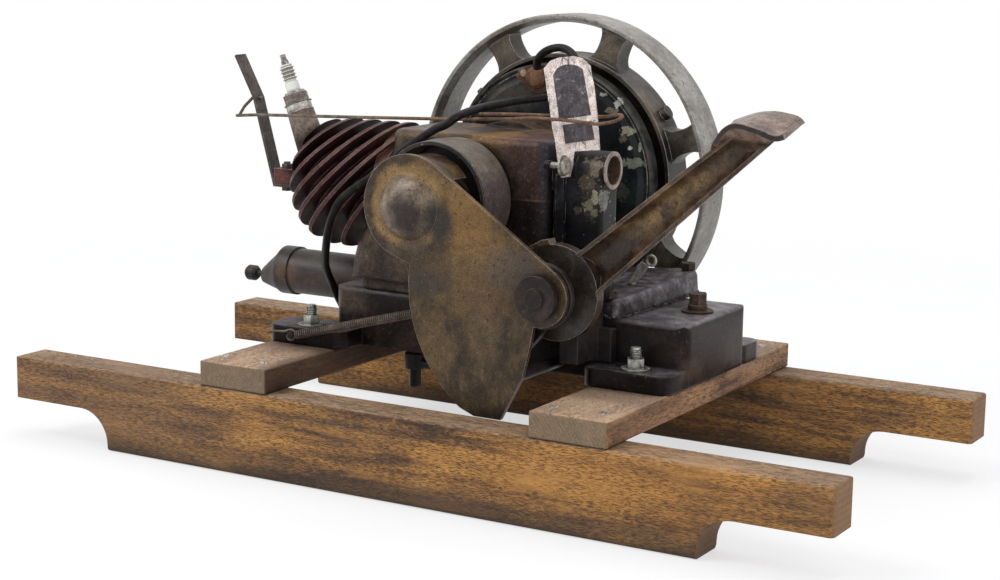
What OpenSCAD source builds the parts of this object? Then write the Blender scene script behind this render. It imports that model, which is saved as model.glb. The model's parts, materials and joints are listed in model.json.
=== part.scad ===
// Kick-start stationary engine with a horizontal finned cylinder, standing on a two-runner oak skid.
// Frame: origin on the floor under the middle of the skid, +X along the runners towards the pedal,
// +Y from the pulley side towards the flywheel, +Z up. All sizes are millimetres.

/* [Skid] */
// Length of a runner
rail_l = 762; // [700:1:900]
// Height of a runner
rail_h = 71; // [60:1:90]
// Thickness of a runner
rail_t = 38; // [30:1:50]
// Distance between the runners' middles
rail_pitch = 310; // [290:1:340]
// Height left at a runner's raised tip
rail_tip_h = 37; // [25:1:50]
// Length of a runner's foot on the floor
rail_foot_l = 553; // [500:1:600]
// Radius of the cove between foot and tip
rail_cove_r = 29; // [15:1:32]
// Rounding of a runner's long edges
rail_round = 4; // [1:0.5:8]
// Width of a crossbar
bar_w = 67; // [50:1:80]
// Thickness of a crossbar
bar_t = 21; // [15:1:28]
// Middle of the left crossbar
bar_left_x = -143; // [-160:1:-130]
// Middle of the right crossbar
bar_right_x = 169; // [160:1:180]
// Setback of a crossbar's end from the runner's outer face
bar_setback = 1; // [0:0.5:6]

/* [Fuel tank base] */
// Left face of the tank
tank_left_x = -131; // [-135:1:-125]
// Right face of the tank
tank_right_x = 204; // [202:1:206]
// Front face of the tank
tank_front_y = -46; // [-48:1:-44]
// Back face of the tank
tank_back_y = 76; // [72:1:80]
// Height of the tank body
tank_h = 50; // [46:1:54]
// Corner rounding of the tank
tank_round = 12; // [6:1:16]
// Thickness of a foot
foot_t = 15; // [10:1:20]
// Reach of a foot beyond its bolt
foot_reach = 15; // [13:1:18]
// Distance of a foot bolt from the tank's long face
foot_bolt_off = 15.5; // [13:0.5:20]
// Radius of a foot bolt
foot_bolt_r = 4; // [3:0.5:5]
// Clearance of a foot bolt in its hole
foot_bolt_clear = 0.4; // [0.1:0.1:0.5]

/* [Crankcase] */
// Height of the crankshaft over the floor
crank_z = 229.5; // [228:0.5:231]
// Left face of the crankcase's top
case_left_x = -76; // [-78:1:-74]
// Right face of the crankcase
case_right_x = 82; // [80:1:83]
// Front face of the crankcase
case_front_y = -49; // [-49.5:0.5:-48]
// Back face of the crankcase
case_back_y = 45; // [40:1:50]
// Top of the crankcase
case_top_z = 280; // [278:1:282]
// Rounding of the crankcase's upright edges beside the cylinder
case_left_round = 20; // [12:1:24]
// Rounding of the crankcase's upright edges beside the carburettor
case_right_round = 14; // [8:1:16]
// Rounding of the crankcase's top edge
case_top_round = 7; // [4:0.5:7.5]
// Thickness of the crankcase's bolting flange
case_flange_t = 12; // [8:1:14]
// Radius of the crankshaft
shaft_r = 9.5; // [8:0.5:11]
// Running clearance of the crankshaft
shaft_clear = 0.06; // [0.03:0.01:0.1]

/* [Cylinder] */
// Middle of the cylinder across the engine
cyl_y = 0; // [-2:1:2]
// Height of the cylinder's axis
cyl_z = 225; // [223:1:226]
// Radius over the fins
fin_r = 56; // [54:0.5:57]
// Radius of the barrel under the fins
barrel_r = 38; // [34:1:40]
// Left end of the cylinder
cyl_end_x = -189; // [-191:1:-187]
// Rounding of the cylinder's head
head_round = 39; // [36:1:41]
// Number of slanted fins
fin_n = 9; // [7:1:9]
// Distance between fins along the cylinder
fin_pitch = 19; // [18:0.1:19.5]
// Thickness of a fin
fin_t = 3.2; // [2.5:0.1:4]
// Place of the first fin's middle on the axis
fin_x = -65.5; // [-68:0.5:-64]

/* [Spark plug] */
// Lean of the plug from upright
plug_lean = 22; // [18:1:26]
// Width across the flats of the plug's hexagon
plug_af = 20.8; // [18:0.1:22]
// Length of the insulator above the hexagon
plug_insulator_l = 27; // [22:1:32]
// Radius of the insulator
plug_insulator_r = 6.2; // [5.5:0.1:6.5]

/* [Stop strip] */
// Middle of the stop strip across the engine
strip_y = 5; // [3:0.5:6]
// Width of the stop strip
strip_w = 14; // [10:1:16]
// Thickness of the stop strip
strip_t = 2.4; // [1.5:0.1:3]
// Radius of the pull wire
wire_r = 1.4; // [1:0.1:1.6]

/* [Flywheel and magneto] */
// Outer radius of the flywheel
wheel_r = 143; // [140:1:146]
// Front of the flywheel's rim
wheel_front_y = 116; // [115:1:118]
// Width of the flywheel's rim
wheel_w = 39; // [34:1:44]
// Thickness of the rim
rim_t = 7; // [5:0.5:9]
// Outer radius of the inner drum
drum_r = 109; // [107:0.5:111]
// Wall of the inner drum
drum_t = 3.5; // [3:0.5:4]
// Number of fan spokes
spoke_n = 7; // [5:1:8]
// Width of a spoke at its middle
spoke_w = 21; // [16:1:28]
// Thickness of the rim's front lip
lip_t = 4; // [3:0.5:5]
// Radius of the magneto backplate
plate_r = 101; // [99:0.5:102]
// Front of the magneto backplate
plate_front_y = 96; // [94:1:97]

/* [Pulley] */
// Radius of the pulley
pulley_r = 49.5; // [48:0.5:50]
// Width of the pulley
pulley_w = 42; // [38:1:42]
// Back of the pulley
pulley_back_y = -54; // [-55:0.5:-54]
// Wall of the pulley's rim
pulley_wall = 3.7; // [3:0.1:4]

/* [Kick starter] */
// Pivot of the pedal, height
pivot_z = 170; // [170:0.5:170]
// Radius of the pivot pin
pin_r = 8; // [7:0.5:9]
// Running clearance of the pedal's bore
pin_clear = 0.08; // [0.03:0.01:0.1]
// Module of the starter gears
gear_m = 3; // [3:0.1:3]
// Teeth on the starter pinion
pinion_teeth = 16; // [16:1:16]
// Teeth that a full ring of the gear sector would have
sector_teeth = 73; // [73:1:73]
// Front face of the gear sector
sector_front_y = -118; // [-119:0.5:-117]
// Thickness of the gear sector
sector_t = 8; // [6:0.5:9]
// Radius of the pedal's hub flange
hub_flange_r = 38; // [34:0.5:40]
// Outer radius of the pedal's half-pipe arm at its hub
arm_r = 18; // [16:0.1:19]
// Outer radius of the pedal's half-pipe arm at its far end
arm_tip_r = 11.6; // [10:0.1:14]
// Distance of the arm's middle line below the pivot
arm_drop = 5.8; // [4:0.1:8]
// Wall of the pedal arm
arm_t = 3.2; // [2.5:0.1:4]
// Angle of the pedal arm above level
arm_angle = 40.5; // [38:0.5:43]
// Width of the foot pad
pad_w = 44; // [36:1:48]
// Thickness of the foot pad
pad_t = 4; // [3:0.5:5]

/* [Guard] */
// Front face of the guard
guard_front_y = -131; // [-132:0.5:-130.5]
// Thickness of the guard
guard_t = 4; // [3:0.5:4.5]
// Radius of the guard round the crankshaft
guard_r = 42; // [41:0.5:43]
// Radius of the guard round the pedal pivot
guard_pivot_r = 24; // [22:0.5:26]
// Radius of the guard round the sector's path
guard_sweep_r = 118.5; // [117:0.5:120]
// Back edge of the guard's skirt
skirt_back_y = -96; // [-98:0.5:-95]

/* [Carburettor] */
// Left face of the carburettor's flange
carb_left_x = 88; // [87:0.5:89]
// Right face of the carburettor body
carb_right_x = 127; // [124:1:130]
// Front face of the carburettor body
carb_front_y = -46; // [-47:0.5:-45]
// Depth of the carburettor body
carb_d = 30; // [26:1:34]
// Outer radius of the air inlet
inlet_r = 15.2; // [14:0.1:15.6]
// Bore radius of the air inlet
inlet_bore_r = 11.6; // [9:0.1:12]
// Depth of the air inlet's bore
inlet_bore_l = 36; // [25:1:40]

/* [Hidden] */
$fn = 48;
eps = 0.01;

// Skid
rail_y = rail_pitch / 2;
rail_out_y = rail_y + rail_t / 2;
bar_bottom_z = rail_h;
bar_top_z = rail_h + bar_t;
bar_l = 2 * (rail_out_y - bar_setback);

// Tank and feet
tank_bottom_z = bar_top_z;
tank_top_z = tank_bottom_z + tank_h;
foot_top_z = tank_bottom_z + foot_t;
bolt_front_y = tank_front_y - foot_bolt_off;
bolt_back_y = tank_back_y + foot_bolt_off;
feet = [
    ["front_left", bar_left_x, bolt_front_y],
    ["front_right", bar_right_x, bolt_front_y],
    ["back_left", bar_left_x, bolt_back_y],
    ["back_right", bar_right_x, bolt_back_y]
];
washer_t = 1.6;
washer_r = 11.5;
nut_af = 12.7;
nut_h = 7.5;

// Crankcase
case_bottom_z = tank_top_z;
flange_top_z = case_bottom_z + case_flange_t;
flange_right_x = 141;
flange_left_x = -104;
flange_front_y = tank_front_y + 1;
flange_back_y = tank_back_y - 2;
neck_r = 56;
case_under_z = case_bottom_z + 9;
// Left side of the crankcase: distances from its left face, and heights
case_side = [[-43, case_under_z], [-40, 167], [-36, 181], [-16, 215], [-8, 240], [0, 262]];
// Raised shelf of the flange: plan, from the front round to the back; its top slopes up to the back
shelf = [[60, 84], [60, -45], [139, -45], [143, -40], [146.5, -20], [148, 16], [148, 76], [146, 102], [143, 107],
    [126, 107], [104, 97]];
shelf_middle = [105, 30];
shelf_edge = [[0, 40], [1.5, 4], [2.5, 1.6], [5, 0]];
shelf_notch_x = 128.5;
case_bolts = [[132.5, -38.5, shelf_top(-33), 8], [137, 100, shelf_top(108), 11],
    [flange_left_x + 8, flange_back_y - 9, flange_top_z, 11]];
case_bolt_h = 6;
case_bolt_r = 3;

// Gears of the kick starter
pinion_pitch_r = gear_m * pinion_teeth / 2;
sector_pitch_r = gear_m * sector_teeth / 2;
centre_d = pinion_pitch_r + sector_pitch_r;
pivot_x = sqrt(centre_d * centre_d - (crank_z - pivot_z) * (crank_z - pivot_z));
mesh_angle = 180 - atan2(crank_z - pivot_z, pivot_x);
sector_from = 147;
sector_to = 238;
sector_back_y = sector_front_y + sector_t;
backlash = 0.35;
pressure_angle = 20;

// Stack along the pedal pivot, from the front
pin_head_r = 17.7;
pin_head_t = 8;
pin_tip_r = 7.9;
pin_tip_t = 2;
guard_back_y = guard_front_y + guard_t;
stack_gap = 0.3;
hub_front_y = guard_back_y + stack_gap;
hub_r = 18;
collar_r = 26;
collar_t = 5;
flange_front_hub_y = -107;
flange_back_hub_y = -97;
bracket_front_y = flange_back_hub_y + stack_gap;
bracket_r = 19;
pin_seat = 20;

// Foot pedal
arm_y = sector_back_y;
arm_start = 24;
arm_end = 228;
pad_front_y = -118;
pad_steps = 3;
// Top line of the foot pad at its front and at its back
pad_front = [[253.7, 296], [260.4, 306.4], [270.8, 311.9], [289.2, 308.6], [301, 304.8], [308.6, 306.3]];
pad_back = [[251, 309.7], [267.6, 316], [283.4, 318.4], [299.2, 316.4], [304.2, 314.4], [307.3, 311.2]];
// Stop ear on the hub flange, measured from the pivot
ear = [[0, 0], [-27.1, 32], [-11.7, 40.3], [-5.8, 41.4], [-3.3, 34.8]];

// Return spring
spring_r = 4;
spring_a = [-144.6, -81, 101.5];
spring_b = [66, -105.5, 159.5];

// Carburettor
inlet_y = carb_front_y + inlet_r;
inlet_z = 258.5;
inlet_end_x = 130;
inlet_collar_x = 104;
carb_flange_t = 7;
carb_flange_front_y = carb_front_y - 4;
carb_flange_top_z = 254;
tag_t = 0.8;
tag_y = carb_flange_front_y - 0.5;
knob_x = carb_left_x + 12.5;
knob_y = carb_front_y - 14;
knob_z = 262.9;
knob_r = 7;
knob_t = 4;
knob_washer_t = 1.2;
knob_stem_r = 2.5;
knob_boss_t = 5;
knob_boss_r = 3.6;
knob_stem_seat = 4;

// Ignition lead: its radius and the points of its route
lead_r = 3.5;
lead_route = [
    [-9, 90, 326.5], [-7.5, 86, 332.5], [0, 82.5, 340], [10, 81, 344.5], [21, 80, 345.5], [31, 78, 341.5],
    [38, 74, 333], [39, 70, 321], [33, 68, 311], [23, 67, 306], [13.5, 66, 304], [5, 48, 302.5],
    [2, 28, 302], [-2, 0, 300.3], [-2, -25, 299], [-4, -48, 295.5], [-12, -57, 288], [-21, -58, 284],
    [-37, -56, 275], [-57, -57, 261], [-75, -57, 245], [-83, -59, 240], [-101, -61, 228],
    [-114, -61, 217], [-122, -59, 205.5], [-131, -53, 191], [-139, -45, 176], [-152, -28, 156.5],
    [-158, -16, 145], [-161, -5, 134], [-160, 0, 124.3], [-159, 8.5, 111.5], [-160, 20, 101],
    [-160, 27, 98.4], [-160, 34, 97.8]
];
lead_step = 2;
lead_path = smooth(lead_route, lead_step);
lead_exit = unit(lead_path[1] - lead_path[0]);
lead_end = lead_path[len(lead_path) - 1];
lead_end_dir = unit(lead_end - lead_path[len(lead_path) - 2]);

// ---- Helpers ----

// Board with all its edges rounded, from the middle of its bottom face
module board(size, r) {
    intersection() {
        linear_extrude(size.z) rounded(size.x, size.y, r);
        translate([0, size.y / 2, 0]) rotate([90, 0, 0]) linear_extrude(size.y)
            translate([0, size.z / 2]) rounded(size.x, size.z, r);
        translate([-size.x / 2, 0, 0]) rotate([90, 0, 90]) linear_extrude(size.x)
            translate([0, size.z / 2]) rounded(size.y, size.z, r);
    }
}

// Rounded rectangle about its middle
module rounded(x, y, r) {
    square([x - 2 * r, y], center = true);
    square([x, y - 2 * r], center = true);
    for (sx = [-1, 1], sy = [-1, 1])
        translate([sx * (x / 2 - r), sy * (y / 2 - r)]) circle(r, $fn = 24);
}

// Cylinder along Y from y0 to y1
module rod_y(x, z, r, y0, y1) {
    translate([x, y0, z]) rotate([-90, 0, 0]) cylinder(h = y1 - y0, r = r);
}

// Cylinder along X from x0 to x1
module rod_x(y, z, r, x0, x1) {
    translate([x0, y, z]) rotate([0, 90, 0]) cylinder(h = x1 - x0, r = r);
}

// Flat outline in the X-Z plane, thickened from y0 to y1
module plate_y(y0, y1) {
    translate([0, y1, 0]) rotate([90, 0, 0]) linear_extrude(y1 - y0) children();
}

// Hexagon by its width across the flats
module hexagon(af, h) {
    cylinder(h = h, r = af / 2 / cos(30), $fn = 6);
}

// Round bar between two points
module bar(a, b, r) {
    d = b - a;
    translate(a) rotate([0, acos(d.z / norm(d)), atan2(d.y, d.x)]) cylinder(h = norm(d), r = r, $fn = 24);
}

function arc(r, from, to, n) = [for (i = [0 : n]) let (a = from + (to - from) * i / n) r * [cos(a), sin(a)]];

// Points of a smooth line through a route, lead_step points a stretch
function smooth(p, n) = concat([for (i = [0 : len(p) - 2], j = [0 : n - 1])
    let (a = p[max(i - 1, 0)], b = p[i], c = p[i + 1], d = p[min(i + 2, len(p) - 1)], t = j / n)
    b + t * (c - a) / 2 + t * t * (2 * a - 5 * b + 4 * c - d) / 2
        + t * t * t * (3 * b - a - 3 * c + d) / 2], [p[len(p) - 1]]);
function unit(v) = v / norm(v);
// Half-thickness step at one point of a ribbon in a plane, mitred at its bends
function across(p, i) = let (a = unit(p[min(i + 1, len(p) - 1)] - p[min(i, len(p) - 2)]),
    b = unit(p[max(i, 1)] - p[max(i - 1, 0)]), m = unit(a + b)) [-m.y, m.x] / (m * a);
// Flat ribbon of even thickness along a plane path
module ribbon(path, t) {
    n = len(path);
    polygon(concat([for (i = [0 : n - 1]) path[i] + across(path, i) * t / 2],
        [for (i = [n - 1 : -1 : 0]) path[i] - across(path, i) * t / 2]));
}
function tangent(p, i) = unit(p[min(i + 1, len(p) - 1)] - p[max(i - 1, 0)]);
function side_of(t) = abs(t.z) < 0.99 ? unit(cross(t, [0, 0, 1])) : unit(cross(t, [0, 1, 0]));

// Solid skin over a stack of rings with the same number of points
module skin(rings, band = false) {
    n = len(rings[0]);
    top = (len(rings) - 1) * n;
    walls = [for (i = [0 : len(rings) - 2], k = [0 : n - 1]) let (j = (k + 1) % n)
        each [[i * n + k, i * n + j, (i + 1) * n + k], [i * n + j, (i + 1) * n + j, (i + 1) * n + k]]];
    first = band ? [for (k = [0 : n / 2 - 2]) [n - 1 - k, n - 2 - k, k + 1, k]]
        : [concat([0], [for (k = [n - 1 : -1 : 1]) k])];
    last = band ? [for (k = [0 : n / 2 - 2]) [top + k, top + k + 1, top + n - 2 - k, top + n - 1 - k]]
        : [[for (k = [0 : n - 1]) top + k]];
    polyhedron([for (r = rings) each r], concat(walls, first, last));
}

// Tube of n sides along the points of a path
module tube(path, r, n) {
    skin([for (i = [0 : len(path) - 1]) let (t = tangent(path, i), s = side_of(t), u = cross(s, t))
        [for (k = [0 : n - 1]) path[i] + r * (cos(360 * k / n) * s + sin(360 * k / n) * u)]]);
}

// ---- Skid ----

module rail_profile() {
    tip_x = rail_l / 2;
    foot_x = rail_foot_l / 2;
    under = rail_h - rail_tip_h;
    difference() {
        translate([0, rail_h / 2]) rounded(rail_l, rail_h, rail_round);
        for (s = [-1, 1]) scale([s, 1]) {
            translate([foot_x + rail_cove_r, -eps]) square([tip_x, under + eps]);
            translate([foot_x, -eps]) square([tip_x, under - rail_cove_r + eps]);
            translate([foot_x + rail_cove_r, under - rail_cove_r]) circle(rail_cove_r);
        }
    }
    for (s = [-1, 1]) translate([s * (tip_x - 2 * rail_round), rail_h - rail_tip_h / 2])
        rounded(4 * rail_round, rail_tip_h, rail_round);
}

module rail(y) {
    color("peru") intersection() {
        plate_y(y - rail_t / 2, y + rail_t / 2) rail_profile();
        translate([-rail_l / 2, y, rail_h / 2]) rotate([90, 0, 90]) linear_extrude(rail_l)
            rounded(rail_t, rail_h, rail_round);
        translate([0, y, 0]) linear_extrude(rail_h) rounded(rail_l, rail_t, rail_round);
    }
}

module crossbar(x) {
    color("tan") difference() {
        translate([x, 0, bar_bottom_z]) board([bar_w, bar_l, bar_t], 2);
        for (y = [bolt_front_y, bolt_back_y])
            translate([x, y, bar_bottom_z - eps]) cylinder(h = bar_t + 2 * eps, r = foot_bolt_r + foot_bolt_clear);
    }
}

// ---- Fuel tank base ----

// Rounded foot round one bolt, reaching into the tank
module foot(x, y, inner_x) {
    side = sign(x);
    back = sign(y - (tank_front_y + tank_back_y) / 2);
    outer_x = side > 0 ? tank_right_x : x - 37;
    w = abs(outer_x - inner_x);
    outer_y = y + back * foot_reach;
    d = foot_bolt_off + foot_reach + tank_round;
    translate([(outer_x + inner_x) / 2, outer_y - back * d / 2, tank_bottom_z])
        linear_extrude(foot_t) rounded(w, d, tank_round);
}

module fuel_tank() {
    color("#2b2523") difference() {
        union() {
            translate([(tank_left_x + tank_right_x) / 2, (tank_front_y + tank_back_y) / 2, tank_bottom_z])
                tank_block(tank_right_x - tank_left_x, tank_back_y - tank_front_y);
            for (f = feet) foot(f[1], f[2], f[1] < 0 ? tank_left_x + 30 : f[1] - 42);
        }
        for (f = feet) translate([f[1], f[2], tank_bottom_z - eps])
            cylinder(h = foot_t + 2 * eps, r = foot_bolt_r + foot_bolt_clear);
        translate([plug_x, plug_y, tank_top_z - plug_shank_l]) cylinder(h = plug_shank_l + eps, r = plug_shank_r);
        translate([cock_x, cock_y, tank_bottom_z - eps]) cylinder(h = cock_stub_l + eps, r = cock_stub_r);
        translate([stay_x, tank_front_y - eps, stay_z]) rotate([-90, 0, 0])
            cylinder(h = stay_seat + eps, r = stay_r);
    }
}

// Tank body with rounded upright corners and a softened top
module tank_block(x, y) {
    top_round = 6;
    intersection() {
        linear_extrude(tank_h) rounded(x, y, tank_round);
        translate([0, y / 2, 0]) rotate([90, 0, 0]) linear_extrude(y)
            soft_top(x, tank_h, top_round);
        translate([-x / 2, 0, 0]) rotate([90, 0, 90]) linear_extrude(x)
            soft_top(y, tank_h, top_round);
    }
}

// Upright rectangle, rounded at its two top corners
module soft_top(w, h, r) {
    translate([0, (h - r) / 2]) square([w, h - r], center = true);
    translate([0, h / 2]) square([w - 2 * r, h], center = true);
    for (s = [-1, 1]) translate([s * (w / 2 - r), h - r]) circle(r, $fn = 24);
}

// Stud from under the crossbar, with its washer and nut on the foot
module foot_bolt(x, y) {
    head_t = 4;
    stud_top = 16.5;
    color("gainsboro") translate([x, y, 0]) {
        translate([0, 0, bar_bottom_z - head_t]) cylinder(h = head_t, r = 9);
        translate([0, 0, bar_bottom_z - head_t]) cylinder(h = foot_top_z - bar_bottom_z + head_t + stud_top
            + washer_t, r = foot_bolt_r);
        translate([0, 0, foot_top_z]) cylinder(h = washer_t, r = washer_r);
        translate([0, 0, foot_top_z + washer_t]) hexagon(nut_af, nut_h);
    }
}

plug_x = 183;
plug_y = 21;
plug_shank_r = 5;
plug_shank_l = 12;

module tank_plug() {
    color("#4a3a2c") translate([plug_x, plug_y, tank_top_z]) {
        translate([0, 0, -plug_shank_l]) cylinder(h = plug_shank_l, r = plug_shank_r);
        cylinder(h = 1.6, r = 13);
        translate([0, 0, 1.6]) cylinder(h = 4.5, r = 8);
        translate([0, 0, 6]) hexagon(13.5, 9.5);
    }
}

cock_x = -56;
cock_y = -31;
cock_stub_r = 4;
cock_stub_l = 8;

// Drain cock under the tank: stub, barrel, cross handle and spout
module drain_cock() {
    color("#1b1a19") {
        translate([cock_x, cock_y, tank_bottom_z - 4]) cylinder(h = cock_stub_l + 4, r = cock_stub_r);
        translate([cock_x, cock_y, tank_bottom_z - 17]) cylinder(h = 13, r = 9);
        translate([cock_x, cock_y, tank_bottom_z - 33]) cylinder(h = 16 + eps, r = 5);
        rod_x(cock_y, tank_bottom_z - 13, 4, cock_x, cock_x + 16);
    }
}

// ---- Crankcase and cylinder ----

// Plan of the crankcase with its left face at x, at height z, drawn in by an inset
function case_corner(x, y, r, from, z) = [for (p = arc(r, from, from - 90, 6)) [x + p.x, y + p.y, z]];
function case_ring(x, z, inset) = let (l = case_left_round, r = case_right_round) concat(
    case_corner(x + l, case_front_y + l, l - inset, 270, z),
    case_corner(x + l, case_back_y - l, l - inset, 180, z),
    case_corner(case_right_x - r, case_back_y - r, r - inset, 90, z),
    case_corner(case_right_x - r, case_front_y + r, r - inset, 0, z));

// Outline of the shelf drawn in by an inset, at a depth under its sloping top but not under the tank's top
function shelf_top(y) = 157.7 + 0.031 * y;
function shelf_ring(inset, depth) = [for (k = [len(shelf) - 1 : -1 : 0])
    let (p = shelf[k] - inset * unit(shelf[k] - shelf_middle))
    [p.x, p.y, max(case_bottom_z, shelf_top(p.y) - depth)]];

// Body of the crankcase: flared to the left below, its edges rounded
module case_body() {
    skin(concat([for (p = case_side) case_ring(case_left_x + p[0], p[1], 0)],
        [for (a = [0 : 15 : 90]) case_ring(case_left_x, case_top_z - case_top_round * (1 - sin(a)),
            case_top_round * (1 - cos(a)))]));
}

module crankcase() {
    boss_r = 30;
    boss_front_y = case_front_y - 1.5;
    color("#5a4330") difference() {
        union() {
            case_body();
            rod_y(0, crank_z, neck_r, case_back_y - case_left_round, plate_front_y);
            rod_y(0, crank_z, boss_r, boss_front_y, case_front_y + 5);
            translate([(flange_left_x + flange_right_x) / 2, (flange_front_y + flange_back_y) / 2, case_bottom_z])
                linear_extrude(case_flange_t) rounded(flange_right_x - flange_left_x,
                    flange_back_y - flange_front_y, 8);
            difference() {
                skin([for (e = shelf_edge) shelf_ring(e[0], e[1])]);
                translate([0, carb_flange_front_y - 10, flange_top_z])
                    cube([shelf_notch_x, carb_d + 15, tank_h]);
            }
        }
        rod_y(0, crank_z, shaft_r + shaft_clear, boss_front_y - eps, plate_front_y + eps);
        for (b = case_bolts) translate([b[0], b[1], case_bottom_z + 2])
            cylinder(h = 2 * case_flange_t, r = case_bolt_r);
    }
}

module crankcase_bolts() {
    color("#5b4a3c") for (b = case_bolts) translate([b[0], b[1], 0]) {
        translate([0, 0, case_bottom_z + 2]) cylinder(h = b[2] - case_bottom_z - 2, r = case_bolt_r);
        translate([0, 0, b[2]]) hexagon(b[3], case_bolt_h);
    }
}

// Envelope of the cylinder: a round body along X with a rounded head end, up to the crankcase
module cylinder_envelope(r, end_x, round_r) {
    l = case_left_x - end_x;
    translate([end_x, cyl_y, cyl_z]) rotate([0, 90, 0]) rotate_extrude()
        polygon(concat([[0, 0]], [for (p = arc(round_r, -90, 0, 8)) [r - round_r, round_r] + p],
            [[r, l], [0, l]]));
}

// Room that the crankcase takes beside the cylinder
module case_room() {
    top = cyl_z + fin_r + 2;
    plate_y(cyl_y - fin_r - 2, cyl_y + fin_r + 2) polygon(concat(
        [for (p = case_side) [case_left_x + p[0], p[1]]],
        [[case_left_x, top], [case_left_x + 150, top], [case_left_x + 150, case_under_z]]));
}

module cylinder_block() {
    barrel_setback = 10;
    seat_r = 50;
    seat_t = 14;
    boss_l = 58;
    boss_foot_r = 14.5;
    color("#4a1f1b") difference() {
        union() {
            intersection() {
                cylinder_envelope(fin_r, cyl_end_x, head_round);
                for (k = [0 : fin_n - 1]) translate([fin_x - k * fin_pitch, cyl_y, cyl_z])
                    rotate([0, -45, 0]) cube([4 * fin_r, 3 * fin_r, fin_t], center = true);
            }
            cylinder_envelope(barrel_r, cyl_end_x + barrel_setback, head_round - barrel_setback);
            rod_x(cyl_y, cyl_z, seat_r, case_left_x - seat_t, case_left_x);
            plug_place() translate([0, 0, -boss_l]) cylinder(h = boss_l, r1 = boss_foot_r, r2 = plug_boss_r);
            translate([lug_left_x, strip_y - lug_w / 2, lug_bottom_z])
                cube([cyl_end_x + barrel_setback + 7 - lug_left_x, lug_w, lug_h]);
        }
        case_room();
        plug_place() translate([0, 0, -plug_thread_l]) cylinder(h = plug_thread_l + eps, r = plug_thread_r);
        translate([lug_bolt_x, strip_y, lug_bottom_z - eps]) cylinder(h = lug_h + 2 * eps, r = lug_hole_r);
    }
}

// ---- Spark plug ----

plug_seat = [-198.3, 0, 283.3];
plug_boss_r = 12;
plug_thread_r = 7;
plug_thread_l = 12;
plug_shell_r = 11.5;
plug_shell_l = 8.5;
plug_hex_l = 8;
plug_crimp_l = 2;

module plug_place() {
    translate([plug_seat.x, cyl_y, plug_seat.z]) rotate([0, -plug_lean, 0]) children();
}

module spark_plug_shell() {
    crimp_r = 9;
    color("silver") plug_place() difference() {
        union() {
            translate([0, 0, -plug_thread_l]) cylinder(h = plug_thread_l, r = plug_thread_r);
            cylinder(h = plug_shell_l, r = plug_shell_r);
            translate([0, 0, plug_shell_l]) hexagon(plug_af, plug_hex_l);
            translate([0, 0, plug_shell_l + plug_hex_l]) cylinder(h = plug_crimp_l, r = crimp_r);
        }
        translate([0, 0, plug_shell_l]) cylinder(h = plug_hex_l + plug_crimp_l + 1, r = plug_insulator_r);
    }
}

// Insulator, smooth below and ribbed above, with its terminal
module spark_plug_insulator() {
    top = plug_shell_l + plug_hex_l + plug_insulator_l;
    smooth_l = 11;
    core_r = plug_insulator_r - 1;
    rib_r = plug_insulator_r + 0.5;
    rib_pitch = 3.2;
    terminal_r = 2.6;
    color("white") plug_place() {
        translate([0, 0, plug_shell_l]) cylinder(h = plug_hex_l + smooth_l, r = plug_insulator_r);
        translate([0, 0, plug_shell_l + plug_hex_l + smooth_l - eps])
            cylinder(h = plug_insulator_l - smooth_l + eps, r = core_r);
        for (k = [0 : 3]) translate([0, 0, top - 3 - rib_pitch * k]) rotate_extrude()
            polygon([[0, -1.1], [core_r, -1.1], [rib_r, 0], [core_r, 1.1], [0, 1.1]]);
        translate([0, 0, top - eps]) cylinder(h = 4, r = terminal_r + 0.8);
        translate([0, 0, top + 4 - 2 * eps]) cylinder(h = 5.5, r = terminal_r);
    }
}

// ---- Stop strip and its wire ----

lug_left_x = -225;
lug_bottom_z = 217;
lug_h = 14.5;
lug_w = 18;
lug_bolt_x = -217;
lug_hole_r = 3.2;
strip_hole_r = 2;
strip_hole_x = -248.5;
strip_hole_z = 292.8;
strip_path = [[lug_bolt_x + 8, lug_bottom_z - strip_t / 2],
    [lug_left_x - strip_t / 2 - 0.3, lug_bottom_z - strip_t / 2], [strip_hole_x, strip_hole_z], [-269, 330]];

module stop_strip() {
    color("#4c4440") difference() {
        plate_y(strip_y - strip_w / 2, strip_y + strip_w / 2) ribbon(strip_path, strip_t);
        rod_x(strip_y, strip_hole_z, strip_hole_r, strip_hole_x - 8, strip_hole_x + 8);
        translate([lug_bolt_x, strip_y, lug_bottom_z - 2 * strip_t]) cylinder(h = 2 * strip_t, r = lug_hole_r);
    }
}

module stop_bolt() {
    head_af = 9;
    head_h = 3.5;
    under = lug_bottom_z - strip_t;
    color("#3a3531") translate([lug_bolt_x, strip_y, 0]) {
        translate([0, 0, under - head_h]) hexagon(head_af, head_h);
        translate([0, 0, under - head_h]) cylinder(h = strip_t + lug_h + 2 * head_h + 2, r = lug_hole_r - 0.2);
        translate([0, 0, lug_bottom_z + lug_h]) hexagon(head_af, head_h);
    }
}

// Pull wire: through the strip, back along the cylinder, looped round the tag and doubled back behind it
wire_route = [[-243, 5, 292.5], [-248.5, 5, 292.8], [-254, 3, 292], [-261.5, -6, 277.2], [-235.1, -13, 279.3],
    [-10, -37, 291], [70, -56, 298.5], [112, -59, 298.5], [128, -58, 297.5], [140, -51, 300],
    [143, -44, 303.5], [137, -40, 304], [127, -41, 302], [105, -43, 301], [75, -46.5, 300.2],
    [40, -48.5, 299.3], [14, -46, 297.5]];

module stop_wire() {
    color("#6b4a35") tube(smooth(wire_route, 2), wire_r, 8);
}

// ---- Crankshaft, pulley, flywheel and magneto ----

shaft_front_y = guard_back_y + 5;
shaft_back_y = wheel_front_y + wheel_w - 2;
journal_r = 8;
journal_back_y = -104;

module crankshaft() {
    color("#6f6a66") {
        rod_y(0, crank_z, shaft_r, journal_back_y, shaft_back_y);
        rod_y(0, crank_z, journal_r, shaft_front_y, journal_back_y + eps);
    }
}

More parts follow.
